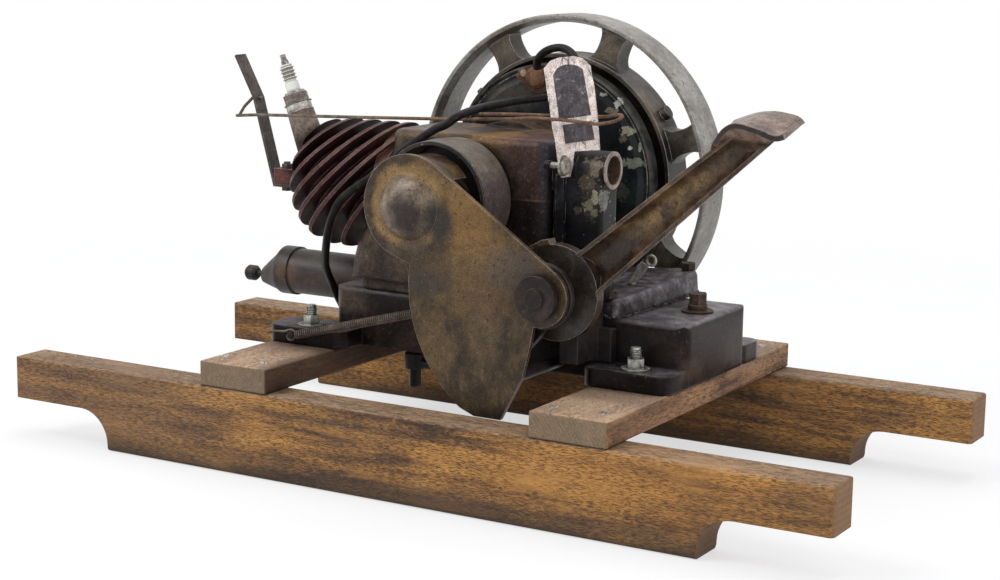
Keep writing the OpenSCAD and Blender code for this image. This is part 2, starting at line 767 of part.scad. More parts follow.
module pulley() {
    front_y = pulley_back_y - pulley_w;
    crown = 1;
    color("#77706a") difference() {
        translate([0, front_y, crank_z]) rotate([-90, 0, 0]) rotate_extrude($fn = 72)
            polygon([[pulley_r - pulley_wall, 0], [pulley_r - 0.5, 0], [pulley_r + crown / 2, pulley_w / 2],
                [pulley_r - 0.5, pulley_w], [0, pulley_w], [0, 10], [17, 10], [17, pulley_w - 14],
                [pulley_r - pulley_wall - 2, pulley_w - 14], [pulley_r - pulley_wall, pulley_w - 16]]);
        rod_y(0, crank_z, shaft_r, front_y - 1, pulley_back_y + 1);
    }
}

// Flat fan spoke that joins the drum to the rim, broader at both ends
module spoke(a) {
    flare = 6;
    from_r = drum_r - drum_t / 2;
    to_r = wheel_r - rim_t / 2;
    side = [for (t = [0 : 10]) let (u = t / 10)
        [from_r + (to_r - from_r) * u, spoke_w / 2 + flare * pow(abs(2 * u - 1), 3)]];
    rotate([0, -a, 0]) plate_y(spoke_front_y, spoke_back_y)
        polygon(concat(side, [for (k = [len(side) - 1 : -1 : 0]) [side[k].x, -side[k].y]]));
}

spoke_front_y = wheel_front_y + 8;
spoke_back_y = wheel_front_y + 30;
spoke_from = 18;
// Heads on the drum: angle, place across the wheel, radius, height
drum_heads = [[32.8, wheel_front_y + 20, 6, 6], [140, wheel_front_y + 3.5, 3, 2.5]];

module flywheel() {
    back_y = wheel_front_y + wheel_w;
    drum_back_y = back_y - 4;
    web_t = 6;
    hub_r = 24;
    edge = 1;
    lip_l = 9;
    color("silver") difference() {
        union() {
            translate([0, wheel_front_y, crank_z]) rotate([-90, 0, 0]) rotate_extrude($fn = 96)
                polygon([[wheel_r - lip_t, 0], [wheel_r - edge, 0], [wheel_r, edge], [wheel_r, wheel_w - edge],
                    [wheel_r - edge, wheel_w], [wheel_r - rim_t, wheel_w], [wheel_r - rim_t, lip_l]]);
            difference() {
                rod_y(0, crank_z, drum_r, wheel_front_y - 1, drum_back_y, $fn = 96);
                rod_y(0, crank_z, drum_r - drum_t, wheel_front_y - 2, drum_back_y - web_t, $fn = 96);
            }
            rod_y(0, crank_z, hub_r, wheel_front_y + 4, back_y - 1);
            translate([0, 0, crank_z]) {
                for (k = [0 : spoke_n - 1]) spoke(spoke_from + 360 / spoke_n * k);
                for (h = drum_heads) rotate([0, -h[0], 0]) translate([drum_r - 1, h[1], 0]) rotate([0, 90, 0])
                    cylinder(h = h[3] + 1, r = h[2]);
            }
        }
        rod_y(0, crank_z, shaft_r, wheel_front_y - 2, back_y + 1);
    }
}

module magneto_backplate() {
    color("#17191a") translate([0, plate_front_y, crank_z]) rotate([-90, 0, 0]) difference() {
        rotate_extrude($fn = 96) polygon([[0, 0], [88, 0], [93, 3], [plate_r - 3, 3], [plate_r - 1.5, 1],
            [plate_r, 3], [plate_r, 14], [plate_r - 3, 14], [plate_r - 3, 9], [0, 6]]);
        translate([0, 0, -1]) cylinder(h = 20, r = shaft_r + shaft_clear);
    }
}

coil_x = -10;
coil_z = crank_z + plate_r - 9.5;
coil_t = 3;
coil_r = 17;
coil_dome_r = 9.5;
coil_dome_h = 7.5;
coil_ear_r = 6;
coil_ear_x = -24.4;

// Cover where the ignition lead leaves the magneto
module coil_cap() {
    color("#7a4a2c") difference() {
        union() {
            plate_y(plate_front_y - coil_t, plate_front_y) intersection() {
                union() {
                    translate([coil_x, coil_z]) circle(coil_r);
                    translate([coil_ear_x, coil_z]) circle(coil_ear_r);
                    polygon([[coil_ear_x - 8, coil_z - 4], [coil_ear_x - 3, coil_z + 5], [coil_x, coil_z + coil_r],
                        [coil_x, coil_z - coil_r], [coil_x - 9, coil_z - coil_r + 2.6]]);
                }
                translate([0, crank_z]) circle(plate_r - 2, $fn = 96);
            }
            translate([coil_x - 1, plate_front_y - coil_t + eps, coil_z - 3]) rotate([90, 0, 0]) rotate_extrude()
                polygon([[0, 0], [coil_dome_r, 0], [coil_dome_r, coil_dome_h - 3],
                    [coil_dome_r - 2.5, coil_dome_h - 0.7], [0, coil_dome_h]]);
            rod_y(coil_ear_x, coil_z, 3, plate_front_y - coil_t - 1.5, plate_front_y - coil_t + eps);
        }
        bar(lead_path[0], lead_path[0] + 16 * lead_exit, lead_r + 0.5);
    }
}

// ---- Exhaust duct ----

duct_y = 22;
duct_z = 135.5;
duct_r = 20.5;
duct_lip_r = 22;
duct_lip_l = 14;
duct_left_x = -254;
duct_cone_l = 24;
duct_tip_r = 8;
duct_tip_z = duct_z - 7;
duct_gap = 0.3;
screw_r = 2.5;

// Round duct on the tank's shoulder, closed on the left by a blunt cone with a dropped tip
module exhaust_duct() {
    shoulder_x = duct_left_x + duct_cone_l;
    case_x = case_left_x + case_side[0][0];
    color("#3b332f") difference() {
        union() {
            rod_x(duct_y, duct_z, duct_r, shoulder_x, flange_left_x - duct_gap);
            rod_x(duct_y, duct_z, duct_lip_r, shoulder_x, shoulder_x + duct_lip_l);
            hull() {
                rod_x(duct_y, duct_z, duct_lip_r - 1, shoulder_x, shoulder_x + 1, $fn = 32);
                rod_x(duct_y, duct_tip_z, duct_tip_r, duct_left_x, duct_left_x + 1, $fn = 32);
            }
        }
        translate([tank_left_x - duct_gap, tank_front_y, tank_bottom_z])
            cube([60, tank_back_y - tank_front_y, tank_h + duct_gap]);
        translate([case_x - duct_gap, case_front_y, case_under_z - duct_gap])
            cube([60, case_back_y - case_front_y, duct_r]);
        rod_x(duct_y, duct_tip_z, screw_r, duct_left_x - 1, duct_left_x + 10);
    }
}

// Thumb screw in the duct's end
module exhaust_screw() {
    head_r = 7;
    head_l = 12;
    stem_l = 9;
    color("#16181c") {
        rod_x(duct_y, duct_tip_z, screw_r, duct_left_x - stem_l, duct_left_x + 10);
        translate([duct_left_x - stem_l - head_l, duct_y, duct_tip_z]) rotate([0, 90, 0]) rotate_extrude()
            polygon([[0, 0], [head_r - 2, 0], [head_r, 2.5], [head_r, head_l - 2.5], [head_r - 2, head_l],
                [0, head_l]]);
    }
}

// ---- Carburettor ----

module carburettor() {
    body_x = carb_left_x + carb_flange_t;
    w = carb_right_x - carb_left_x;
    mid_y = carb_front_y + carb_d / 2;
    neck_d = 22;
    neck_from_z = flange_top_z + 40;
    step_t = 1.3;
    color("#202020") difference() {
        union() {
            translate([carb_left_x + w / 2, mid_y, flange_top_z])
                linear_extrude(inlet_z - flange_top_z) rounded(w, carb_d, 5);
            rod_x(inlet_y, inlet_z, inlet_r, body_x, inlet_end_x);
            rod_x(inlet_y, inlet_z, inlet_r + step_t, body_x, inlet_collar_x);
            translate([carb_left_x, carb_flange_front_y, flange_top_z])
                cube([carb_flange_t, carb_d, carb_flange_top_z - flange_top_z]);
            translate([case_right_x, mid_y - neck_d / 2, neck_from_z])
                cube([carb_left_x + 1 - case_right_x, neck_d, carb_flange_top_z - 6 - neck_from_z]);
            rod_x(knob_y, knob_z, knob_boss_r, carb_left_x + 1 - knob_boss_t, carb_left_x + 1);
            translate([carb_left_x + 1 - knob_boss_t, knob_y, knob_z - knob_boss_r])
                cube([knob_boss_t, mid_y - knob_y, knob_boss_r]);
            translate([carb_left_x + 1 - knob_boss_t, carb_flange_front_y + 1, carb_flange_top_z - 12])
                cube([knob_boss_t, carb_d / 2, knob_z - carb_flange_top_z + 12]);
        }
        rod_x(inlet_y, inlet_z, inlet_bore_r, inlet_end_x - inlet_bore_l, inlet_end_x + eps);
        rod_x(knob_y, knob_z, knob_stem_r, carb_left_x + 1 - knob_stem_seat, carb_left_x + 2);
    }
}

// Mixture needle: its stem, a thin washer and a low round knob
module needle_knob() {
    washer_r = knob_r + 1.5;
    color("#8c8878") {
        rod_x(knob_y, knob_z, knob_stem_r, carb_left_x + 1 - knob_stem_seat, knob_x);
        rod_x(knob_y, knob_z, washer_r, knob_x - knob_washer_t, knob_x);
        translate([knob_x - eps, knob_y, knob_z]) rotate([0, 90, 0]) rotate_extrude()
            polygon([[0, 0], [knob_r, 0], [knob_r, knob_t - 1.5], [knob_r - 1.5, knob_t - 0.4], [0, knob_t]]);
    }
}

// Small choke lever: a leaf with a ring at its end, leaning over the crankcase's shelf
module choke_lever() {
    leaf_x = 123.8;
    leaf_y = 20;
    leaf_t = 2;
    foot_r = 3;
    ring_r = 4;
    ring_wire_r = 1.3;
    color("#8b7763") translate([leaf_x, leaf_y, shelf_top(leaf_y + foot_r)]) {
        cylinder(h = 2, r = foot_r);
        plate_y(-leaf_t / 2, leaf_t / 2)
            polygon([[-1.2, 0], [1.2, 0], [6.6, 5.6], [14.6, 16.9], [8.6, 19.6], [2.7, 12.4], [-2, 3.5]]);
        translate([16.6, 0, 21.5]) rotate([90, 0, 0]) rotate_extrude() translate([ring_r, 0]) circle(ring_wire_r);
    }
}

// Paper tag whose tail hangs before the carburettor's flange, behind the knob
module tag_plate() {
    color("#d8cfb8") plate_y(tag_y - tag_t, tag_y) polygon([
        [75.6, 337.9], [81.5, 344.3], [89.1, 347.1], [101.8, 348.9], [109.8, 347.7], [117.1, 342.1],
        [118, 337.3], [121.1, 325.6], [124.9, 300.6], [127.4, 276.4], [104.7, 274], [103.2, 262.5],
        [101.5, 253.4], [93.3, 252], [90.3, 260.8], [87, 281.8], [84.3, 290.8], [82, 304.8], [78.4, 322.6]]);
}

// ---- Kick starter ----

function involute(a) = tan(a) * 180 / PI - a;
function flank_angle(r, rb, pitch_r, half) =
    half + involute(acos(rb / pitch_r)) - involute(r > rb ? acos(rb / r) : 0);
// One tooth's outline about its middle angle
function tooth(mid, root_r, tip_r, pitch_r, half) = let (rb = pitch_r * cos(pressure_angle), n = 4)
    concat([for (i = [0 : n]) let (r = root_r + (tip_r - root_r) * i / n)
            r * [cos(mid - flank_angle(r, rb, pitch_r, half)), sin(mid - flank_angle(r, rb, pitch_r, half))]],
        [for (i = [n : -1 : 0]) let (r = root_r + (tip_r - root_r) * i / n)
            r * [cos(mid + flank_angle(r, rb, pitch_r, half)), sin(mid + flank_angle(r, rb, pitch_r, half))]]);
function half_tooth(pitch_r, n) = 90 / n - backlash / 2 / pitch_r * 180 / PI;

module pinion_outline() {
    polygon([for (k = [0 : pinion_teeth - 1])
        each tooth(mesh_angle + 180 + 360 / pinion_teeth * k, pinion_pitch_r - 1.3 * gear_m,
            pinion_pitch_r + 0.9 * gear_m, pinion_pitch_r, half_tooth(pinion_pitch_r, pinion_teeth))]);
}

module starter_pinion() {
    color("#4f4a46") translate([0, 0, crank_z]) difference() {
        union() {
            plate_y(sector_front_y - 1, sector_back_y + 1) pinion_outline();
            rod_y(0, 0, 14, sector_back_y, journal_back_y - stack_gap);
        }
        rod_y(0, 0, journal_r + shaft_clear, -130, -90);
    }
}

module sector_outline() {
    pitch = 360 / sector_teeth;
    root_r = sector_pitch_r - 1.25 * gear_m;
    first = ceil((sector_from - mesh_angle) / pitch - 0.5);
    last = floor((sector_to - mesh_angle) / pitch - 0.5);
    difference() {
        polygon(concat([[0, 0]], [for (k = [first : last])
            each tooth(mesh_angle + pitch * (k + 0.5), root_r, sector_pitch_r + 0.8 * gear_m, sector_pitch_r,
                half_tooth(sector_pitch_r, sector_teeth))]));
        polygon(concat([for (p = arc(92, 170, 222, 12)) p], [for (p = arc(66, 222, 170, 8)) p]));
    }
    circle(hub_r);
    polygon([hub_r * [cos(sector_to + 80), sin(sector_to + 80)], [0, 0],
        root_r * [cos(sector_to - 3), sin(sector_to - 3)], root_r * [cos(sector_to), sin(sector_to)]]);
}

module gear_sector() {
    color("#3f3834") translate([pivot_x, 0, pivot_z]) difference() {
        union() {
            plate_y(sector_front_y, sector_back_y) sector_outline();
            rod_y(0, 0, hub_r, hub_front_y, flange_front_hub_y);
            rod_y(0, 0, collar_r, hub_front_y, hub_front_y + collar_t);
        }
        rod_y(0, 0, pin_r + pin_clear, hub_front_y - 1, flange_front_hub_y + 1);
    }
}

// Tapered half pipe of the pedal's arm, open to the front
module arm_pipe() {
    l = arm_end - arm_start;
    translate([pivot_x, arm_y, pivot_z]) rotate([0, -arm_angle, 0]) translate([arm_start, 0, -arm_drop])
        rotate([0, 90, 0]) difference() {
            cylinder(h = l, r1 = arm_r, r2 = arm_tip_r);
            translate([0, 0, -eps]) cylinder(h = l + 2 * eps, r1 = arm_r - arm_t, r2 = arm_tip_r - arm_t);
            translate([-arm_r - 1, -2 * arm_r, -1]) cube([2 * arm_r + 2, 2 * arm_r, l + 2]);
        }
}

module pedal() {
    color("#5a4526") difference() {
        union() {
            rod_y(pivot_x, pivot_z, hub_flange_r, flange_front_hub_y, flange_back_hub_y);
            translate([pivot_x, 0, pivot_z]) plate_y(flange_front_hub_y, flange_back_hub_y) polygon(ear);
            difference() {
                arm_pipe();
                skin([pad_room(pad_back, pad_front_y + pad_w), pad_room(pad_front, pad_front_y)]);
                rod_y(pivot_x, pivot_z, hub_flange_r, arm_y - 1, flange_front_hub_y + eps);
            }
            skin([pad_ring(pad_back, pad_front_y + pad_w), pad_ring(pad_front, pad_front_y)], band = true);
        }
        rod_y(pivot_x, pivot_z, pin_r + pin_clear, flange_front_hub_y - 1, flange_back_hub_y + 1);
    }
}

// Section of the foot pad at y, under its top line
function pad_ring(top, y) = let (p = smooth(top, pad_steps), n = len(p) - 1) concat(
    [for (i = [0 : n]) [p[i].x, y, p[i].y]],
    [for (i = [n : -1 : 0]) let (q = p[i] - across(p, i) * pad_t) [q.x, y, q.y]]);
// Section of the space above the foot pad at y, cut away from the arm
function pad_room(top, y) = let (p = smooth(top, pad_steps), n = len(p) - 1, high = 60) concat(
    [[p[0].x, y, p[0].y + high], [p[n].x + high, y, p[n].y + high], [p[n].x + high, y, p[n].y - pad_t / 2]],
    [for (i = [n : -1 : 0]) [p[i].x, y, p[i].y - pad_t / 2]]);

// Pin that carries the pedal, with its broad head in front of the guard
module starter_pin() {
    color("#453c38") {
        rod_y(pivot_x, pivot_z, pin_r, guard_front_y - eps, bracket_front_y + pin_seat);
        rod_y(pivot_x, pivot_z, pin_head_r, guard_front_y - pin_head_t, guard_front_y);
        rod_y(pivot_x, pivot_z, pin_tip_r, guard_front_y - pin_head_t - pin_tip_t, guard_front_y - pin_head_t + eps);
    }
}

// Cast bracket on the tank's front that holds the pin
module starter_bracket() {
    web_x = pivot_x + 4;
    color("#2e2b2c") difference() {
        union() {
            rod_y(pivot_x, pivot_z, bracket_r, bracket_front_y, carb_front_y - stack_gap);
            translate([web_x - 8, bracket_front_y + 8, foot_top_z + 4])
                cube([16, tank_front_y - bracket_front_y - 8, pivot_z - foot_top_z - 4]);
            translate([web_x - 20, tank_front_y - 9, foot_top_z + 1]) cube([40, 9, tank_h - foot_t - 8]);
        }
        rod_y(pivot_x, pivot_z, pin_r, bracket_front_y - 1, bracket_front_y + pin_seat);
    }
}

// ---- Guard ----

module guard_outline() {
    hull() {
        translate([0, crank_z]) circle(guard_r, $fn = 72);
        translate([pivot_x, pivot_z]) circle(guard_pivot_r);
    }
    intersection() {
        translate([pivot_x, pivot_z]) circle(guard_sweep_r, $fn = 120);
        polygon([[pivot_x, pivot_z], [-10, crank_z - 30], [-10, 150], [10, 90], [63, 69],
            [87, 69], [106, 105], [112, 129]]);
    }
}

module guard() {
    dome_r = 27;
    dome_h = 12;
    ball_r = (dome_r * dome_r + dome_h * dome_h) / 2 / dome_h;
    color("#8a6a35") difference() {
        union() {
            plate_y(guard_front_y, guard_back_y) guard_outline();
            intersection() {
                translate([0, guard_front_y - dome_h + ball_r, crank_z]) sphere(ball_r, $fn = 96);
                rod_y(0, crank_z, dome_r + 1, guard_front_y - dome_h - 1, guard_front_y + eps);
            }
            translate([0, guard_back_y - eps, crank_z]) rotate([-90, 0, 0]) rotate_extrude(angle = 230, start = 95)
                translate([37, 0]) square([2.6, skirt_back_y - guard_back_y]);
        }
        rod_y(pivot_x, pivot_z, pin_r + pin_clear, guard_front_y - 1, guard_back_y + 1);
    }
}

stay_x = 95.5;
stay_z = 103.5;
stay_r = 5;
stay_seat = 6;

// Spacer between the tank and the guard's lower corner
module guard_stay() {
    color("#3a302b") rod_y(stay_x, stay_z, stay_r, guard_back_y, tank_front_y + stay_seat);
}

// ---- Return spring ----

module return_spring() {
    color("#5d4a3d") bar(spring_a, spring_b, spring_r);
}

stud_x = -148;
stud_r = 3;

module spring_stud() {
    color("#3a302b") rod_y(stud_x, spring_a.z, stud_r, spring_a.y - 5, bolt_front_y - foot_reach);
}

// ---- Ignition lead ----

module ignition_lead() {
    color("#1b1b1f") tube(lead_path, lead_r, 8);
}

module lead_terminal() {
    color("#7d766c") bar(lead_end, lead_end + 12 * lead_end_dir, lead_r + 0.6);
}

rail(-rail_y);  // rail_front
rail(rail_y);  // rail_back
crossbar(bar_left_x);  // crossbar_left
crossbar(bar_right_x);  // crossbar_right
fuel_tank();
foot_bolt(feet[0][1], feet[0][2]);  // bolt_front_left
foot_bolt(feet[1][1], feet[1][2]);  // bolt_front_right
foot_bolt(feet[2][1], feet[2][2]);  // bolt_back_left
foot_bolt(feet[3][1], feet[3][2]);  // bolt_back_right
tank_plug();
drain_cock();
crankcase();
crankcase_bolts();
cylinder_block();  // cylinder
spark_plug_shell();
spark_plug_insulator();
stop_strip();
stop_bolt();
stop_wire();
crankshaft();
pulley();
flywheel();
magneto_backplate();
coil_cap();
exhaust_duct();
exhaust_screw();
carburettor();
needle_knob();
choke_lever();
tag_plate();
starter_bracket();
starter_pin();
guard();
guard_stay();
pedal();
gear_sector();
starter_pinion();
return_spring();
spring_stud();
ignition_lead();
lead_terminal();
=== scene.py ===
"""Stationary engine on an oak skid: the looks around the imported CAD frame.

Meshes are in metres in the CAD's own frame: +X along the runners, +Y towards the flywheel, +Z up.
Places on the model are written in millimetres, and colours in thousandths.
"""
import json
import math
import random

import bpy
import bmesh
from mathutils import Matrix, Vector


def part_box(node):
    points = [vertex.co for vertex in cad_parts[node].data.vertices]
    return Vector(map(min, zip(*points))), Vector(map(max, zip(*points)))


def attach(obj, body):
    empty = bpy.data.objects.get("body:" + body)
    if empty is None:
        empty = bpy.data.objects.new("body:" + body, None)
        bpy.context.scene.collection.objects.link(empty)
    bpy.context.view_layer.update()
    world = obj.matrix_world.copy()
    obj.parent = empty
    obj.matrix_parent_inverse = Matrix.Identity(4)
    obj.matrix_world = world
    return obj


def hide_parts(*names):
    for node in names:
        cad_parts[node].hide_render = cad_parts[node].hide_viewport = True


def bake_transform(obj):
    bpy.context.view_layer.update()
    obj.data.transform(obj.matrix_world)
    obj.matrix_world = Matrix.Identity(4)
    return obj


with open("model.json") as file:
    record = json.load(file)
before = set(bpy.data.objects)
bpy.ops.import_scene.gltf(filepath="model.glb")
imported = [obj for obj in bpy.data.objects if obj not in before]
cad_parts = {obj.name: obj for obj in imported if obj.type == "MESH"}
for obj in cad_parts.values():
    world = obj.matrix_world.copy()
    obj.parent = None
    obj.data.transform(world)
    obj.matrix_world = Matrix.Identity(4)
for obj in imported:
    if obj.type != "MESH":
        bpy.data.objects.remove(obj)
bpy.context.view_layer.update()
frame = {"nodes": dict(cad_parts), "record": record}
NODES = frame["nodes"]
MM = 0.001
CRANK = {"x": 0, "z": 229.5}  # the crankshaft's line, in millimetres
PIVOT = (0.119507, 0.17)  # the pedal's pin: x, z
ARM_ANGLE = math.radians(40.5)
PLUG_TILT = (0.375, 0.927)  # the plug leans to the left by the first of these as it rises by the second
PLUG_OFF = 0.07759  # distance of the plug's line from the origin
TANK_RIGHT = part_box("fuel_tank")[1][0] / MM
BAR_LEFT_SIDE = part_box("crossbar_left")[1][0] / MM
BAR_RIGHT_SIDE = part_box("crossbar_right")[1][0] / MM
FLOOR_REACH = 14.0
BACKGROUND_SHARE = 0.62  # how much of the floor near the engine shows as white background

# ---------------- camera, floor and light


def add_object(name, data):
    made = bpy.data.objects.new(name, data)
    bpy.context.collection.objects.link(made)
    return made


def show_instead(tree, share, first, second, out):
    """Shows the second shader in place of the first by a share of 0 to 1."""
    mix = tree.nodes.new("ShaderNodeMixShader")
    for source, socket in zip((share, first.outputs[0], second.outputs[0]), mix.inputs):
        tree.links.new(source, socket)
    tree.links.new(mix.outputs[0], out)


def make_camera():
    """The viewpoint: a long lens from the front right, a little above the engine."""
    data = bpy.data.cameras.new("camera")
    data.lens, data.sensor_width = 73.34, 36
    data.clip_start, data.clip_end = 0.1, 50
    camera = add_object("camera", data)
    right = Vector((0.86254706, 0.50574006, 0.01547797))
    up = Vector((-0.10385488, 0.14702132, 0.98366605))
    back = -Vector((-0.49520373, 0.85006572, -0.17933638))
    camera.matrix_world = Matrix.Translation((0.8641, -1.4682, 0.4543)) @ Matrix(
        (right, up, back)).transposed().to_4x4()
    bpy.context.scene.camera = camera


def make_floor():
    """A wide pale floor."""
    mesh = bpy.data.meshes.new("floor")
    corners = [(x * FLOOR_REACH, y * FLOOR_REACH, -0.0002) for x, y in ((-1, -1), (1, -1), (1, 1), (-1, 1))]
    mesh.from_pydata(corners, [], [(0, 1, 2, 3)])
    mesh.materials.append(floor_material())
    add_object("floor", mesh)


def seen_directly(tree):
    """1 for the rays that show the background: from the camera, off gloss and through glass."""
    path = tree.nodes.new("ShaderNodeLightPath")
    total = path.outputs["Is Camera Ray"]
    for name in ("Is Glossy Ray", "Is Transmission Ray"):
        add = tree.nodes.new("ShaderNodeMath")
        add.operation, add.use_clamp = "ADD", True
        tree.links.new(total, add.inputs[0])
        tree.links.new(path.outputs[name], add.inputs[1])
        total = add.outputs[0]
    return total


def floor_material():
    """Matt white that still takes the engine's shadow, and shows as a white background."""
    paint = Paint("floor", base=(860, 860, 865), rough=0.8)
    tree = paint.tree
    white = tree.nodes.new("ShaderNodeEmission")
    white.inputs["Color"].default_value = (1, 1, 1, 1)
    away = paint.hypot(paint.x, paint.y)
    share = paint.times(seen_directly(tree), paint.step(away, 0.6, 1.6, 1.0, BACKGROUND_SHARE))
    show_instead(tree, share, paint.shader, white, paint.out.inputs[0])
    return paint.material


def make_light():
    """A pale world and three large soft lamps."""
    world = bpy.data.worlds.new("world")
    bpy.context.scene.world = world
    world.use_nodes = True
    tree = world.node_tree
    sky = tree.nodes["Background"]
    sky.inputs[0].default_value = (0.93, 0.95, 1.0, 1)
    sky.inputs[1].default_value = 0.62
    white = tree.nodes.new("ShaderNodeBackground")
    white.inputs[0].default_value = (1, 1, 1, 1)
    show_instead(tree, seen_directly(tree), sky, white, tree.nodes["World Output"].inputs[0])
    target = Vector((0, 0, 0.2))
    for name, place, size, power in [
        ("key", (-1.5, -1.6, 2.2), 1.6, 42),
        ("fill", (2.4, -1.4, 1.5), 2.0, 22),
        ("top", (0.2, 0.6, 2.6), 2.2, 26),
    ]:
        data = bpy.data.lights.new(name, "AREA")
        data.shape, data.size, data.energy = "DISK", size, power
        lamp = add_object(name, data)
        lamp.location = place
        lamp.rotation_mode = "QUATERNION"
        lamp.rotation_quaternion = (target - Vector(place)).to_track_quat("-Z", "Y")


# ---------------- materials


def dim(colour, share):
    """A colour made darker or lighter."""
    return tuple(c * share for c in colour)


class Paint:
    """One procedural material. Its methods add nodes and return their output sockets."""

    def __init__(self, name, base=(500, 500, 500), rough=0.5, metallic=0.0, specular=0.5):
        self.material = bpy.data.materials.new(name)
        self.material.use_nodes = True
        self.tree = self.material.node_tree
        self.tree.nodes.clear()
        self.shader = self.tree.nodes.new("ShaderNodeBsdfPrincipled")
        self.out = self.tree.nodes.new("ShaderNodeOutputMaterial")
        self.tree.links.new(self.shader.outputs[0], self.out.inputs[0])
        self.coords = self.tree.nodes.new("ShaderNodeTexCoord")
        self.place = self.coords.outputs["Object"]
        self.x, self.y, self.z = self.node("ShaderNodeSeparateXYZ", {0: self.place}).outputs
        self.colour = base
        self.rough = rough
        self.set("Base Color", base)
        self.set("Roughness", rough)
        self.set("Metallic", metallic)
        self.set("Specular IOR Level", specular)

    def set(self, name, value):
        """Sets or links one of the shader's inputs."""
        self.put(self.shader.inputs[name], value)

    def put(self, socket, value):
        if isinstance(value, bpy.types.NodeSocket):
            self.tree.links.new(value, socket)
        elif socket.type == "RGBA":
            socket.default_value = (*(c / 1000 for c in value), 1)
        else:
            socket.default_value = value

    def node(self, kind, inputs=(), **settings):
        n = self.tree.nodes.new(kind)
        for key, value in settings.items():
            setattr(n, key, value)
        for key, value in dict(inputs).items():
            self.put(n.inputs[key], value)
        return n

    def math(self, how, a, b=0.0):
        return self.node("ShaderNodeMath", {0: a, 1: b}, operation=how).outputs[0]

    def plus(self, a, b):
        return self.math("ADD", a, b)

    def minus(self, a, b):
        return self.math("SUBTRACT", a, b)

    def vector(self, how, a, b=(0, 0, 0)):
        return self.node("ShaderNodeVectorMath", {0: a, 1: b}, operation=how)

    def times(self, *values):
        """Product of masks."""
        total = values[0]
        for value in values[1:]:
            total = self.math("MULTIPLY", total, value)
        return total

    def facing(self, name, low=0.5, high=0.85, sign=1):
        """1 where the surface faces along an axis."""
        along = self.node("ShaderNodeSeparateXYZ", {0: self.coords.outputs["Normal"]}).outputs[name]
        return self.step(self.times(along, sign), low, high)

    def stretched(self, x=1.0, y=1.0, z=1.0, shift=(0, 0, 0), turn=(0, 0, 0)):
        """Coordinates scaled along each axis, so that a noise read there is drawn out."""
        inputs = {"Vector": self.place, "Scale": (x, y, z), "Location": shift, "Rotation": turn}
        return self.node("ShaderNodeMapping", inputs).outputs[0]

    def noise(self, scale, detail=5.0, rough=0.55, warp=0.0, at=None, seed=0.0):
        inputs = {"Vector": at or self.place, "W": seed, "Scale": scale, "Detail": detail,
                  "Roughness": rough, "Distortion": warp}
        return self.node("ShaderNodeTexNoise", inputs, noise_dimensions="4D").outputs["Fac"]

    def mottle(self, noise, *stops):
        """Colours through the values of a noise, which is given by its settings."""
        return self.ramp(self.noise(*noise), *stops)

    def cracks(self, scale, at):
        """Distance to the edge of the nearest cell."""
        inputs = {"Vector": at, "Scale": scale}
        return self.node("ShaderNodeTexVoronoi", inputs, feature="DISTANCE_TO_EDGE").outputs["Distance"]

    def step(self, value, low, high, top=1.0, bottom=0.0):
        """Value mapped from low..high to bottom..top, smooth and clamped."""
        inputs = {"Value": value, "From Min": low, "From Max": high, "To Min": bottom, "To Max": top}
        return self.node("ShaderNodeMapRange", inputs, interpolation_type="SMOOTHSTEP").outputs[0]

    def below(self, value, low, high):
        """1 up to low, fading to 0 at high."""
        return self.step(value, low, high, 0, 1)

    def between(self, value, low, high, soft):
        """1 between two limits, fading over soft at both."""
        return self.times(self.step(value, low - soft, low + soft), self.below(value, high - soft, high + soft))

    def either(self, a, b):
        """The stronger of two masks."""
        return self.math("MAXIMUM", a, b)

    def along_plug(self):
        """How far up the plug's line the place is, in metres."""
        return self.minus(self.times(self.z, PLUG_TILT[1]), self.times(self.x, PLUG_TILT[0]))

    def hypot(self, a, b):
        return self.math("SQRT", self.plus(self.math("POWER", a, 2.0), self.math("POWER", b, 2.0)))

    def radius(self, x=None, y=None, z=None):
        """Distance from a line along the axis whose place isn't given; places are in millimetres."""
        given = ((self.x, x), (self.y, y), (self.z, z))
        return self.hypot(*(self.minus(axis, at * MM) for axis, at in given if at is not None))

    def near(self, centre, reach, soft=0.35, ragged=0.7, scale=60, seed=0.0):
        """1 within reach of a point in millimetres, with a ragged, soft border."""
        away = self.vector("SUBTRACT", self.place, dim(centre, MM)).outputs[0]
        away = self.vector("DIVIDE", away, dim(reach, MM)).outputs[0]
        away = self.vector("LENGTH", away).outputs["Value"]
        rag = self.times(self.minus(self.noise(scale, 5, 0.6, seed=seed), 0.5), ragged * 2)
        return self.below(self.plus(away, rag), 1 - soft, 1 + soft)

    def ramp(self, value, *stops):
        """Colour ramp through (position, colour) stops."""
        n = self.node("ShaderNodeValToRGB", {0: value})
        bar = n.color_ramp
        while len(bar.elements) < len(stops):
            bar.elements.new(0.5)
        for stop, (at, colour) in zip(bar.elements, stops):
            stop.position, stop.color = at, (*(c / 1000 for c in colour), 1)
        return n.outputs[0]

    def mix(self, fac, a, b, how="MIX"):
        n = self.node("ShaderNodeMix", data_type="RGBA", blend_type=how)
        for key, value in ((0, fac), (6, a), (7, b)):
            self.put(n.inputs[key], value)
        return n.outputs[2]

    def lay(self, mask, colour, amount=1.0):
        """Lays a colour over what is there, where the mask is."""
        self.colour = self.mix(self.times(mask, amount), self.colour, colour)
        return mask

    def edges(self, radius=0.0012, low=0.02, high=0.25):
        """1 on the model's outer and inner edges, 0 on its flats."""
        bevel = self.node("ShaderNodeBevel", {"Radius": radius}, samples=6).outputs[0]
        normal = self.node("ShaderNodeNewGeometry").outputs["Normal"]
        dot = self.vector("DOT_PRODUCT", bevel, normal).outputs["Value"]
        return self.step(self.minus(1.0, dot), low, high)

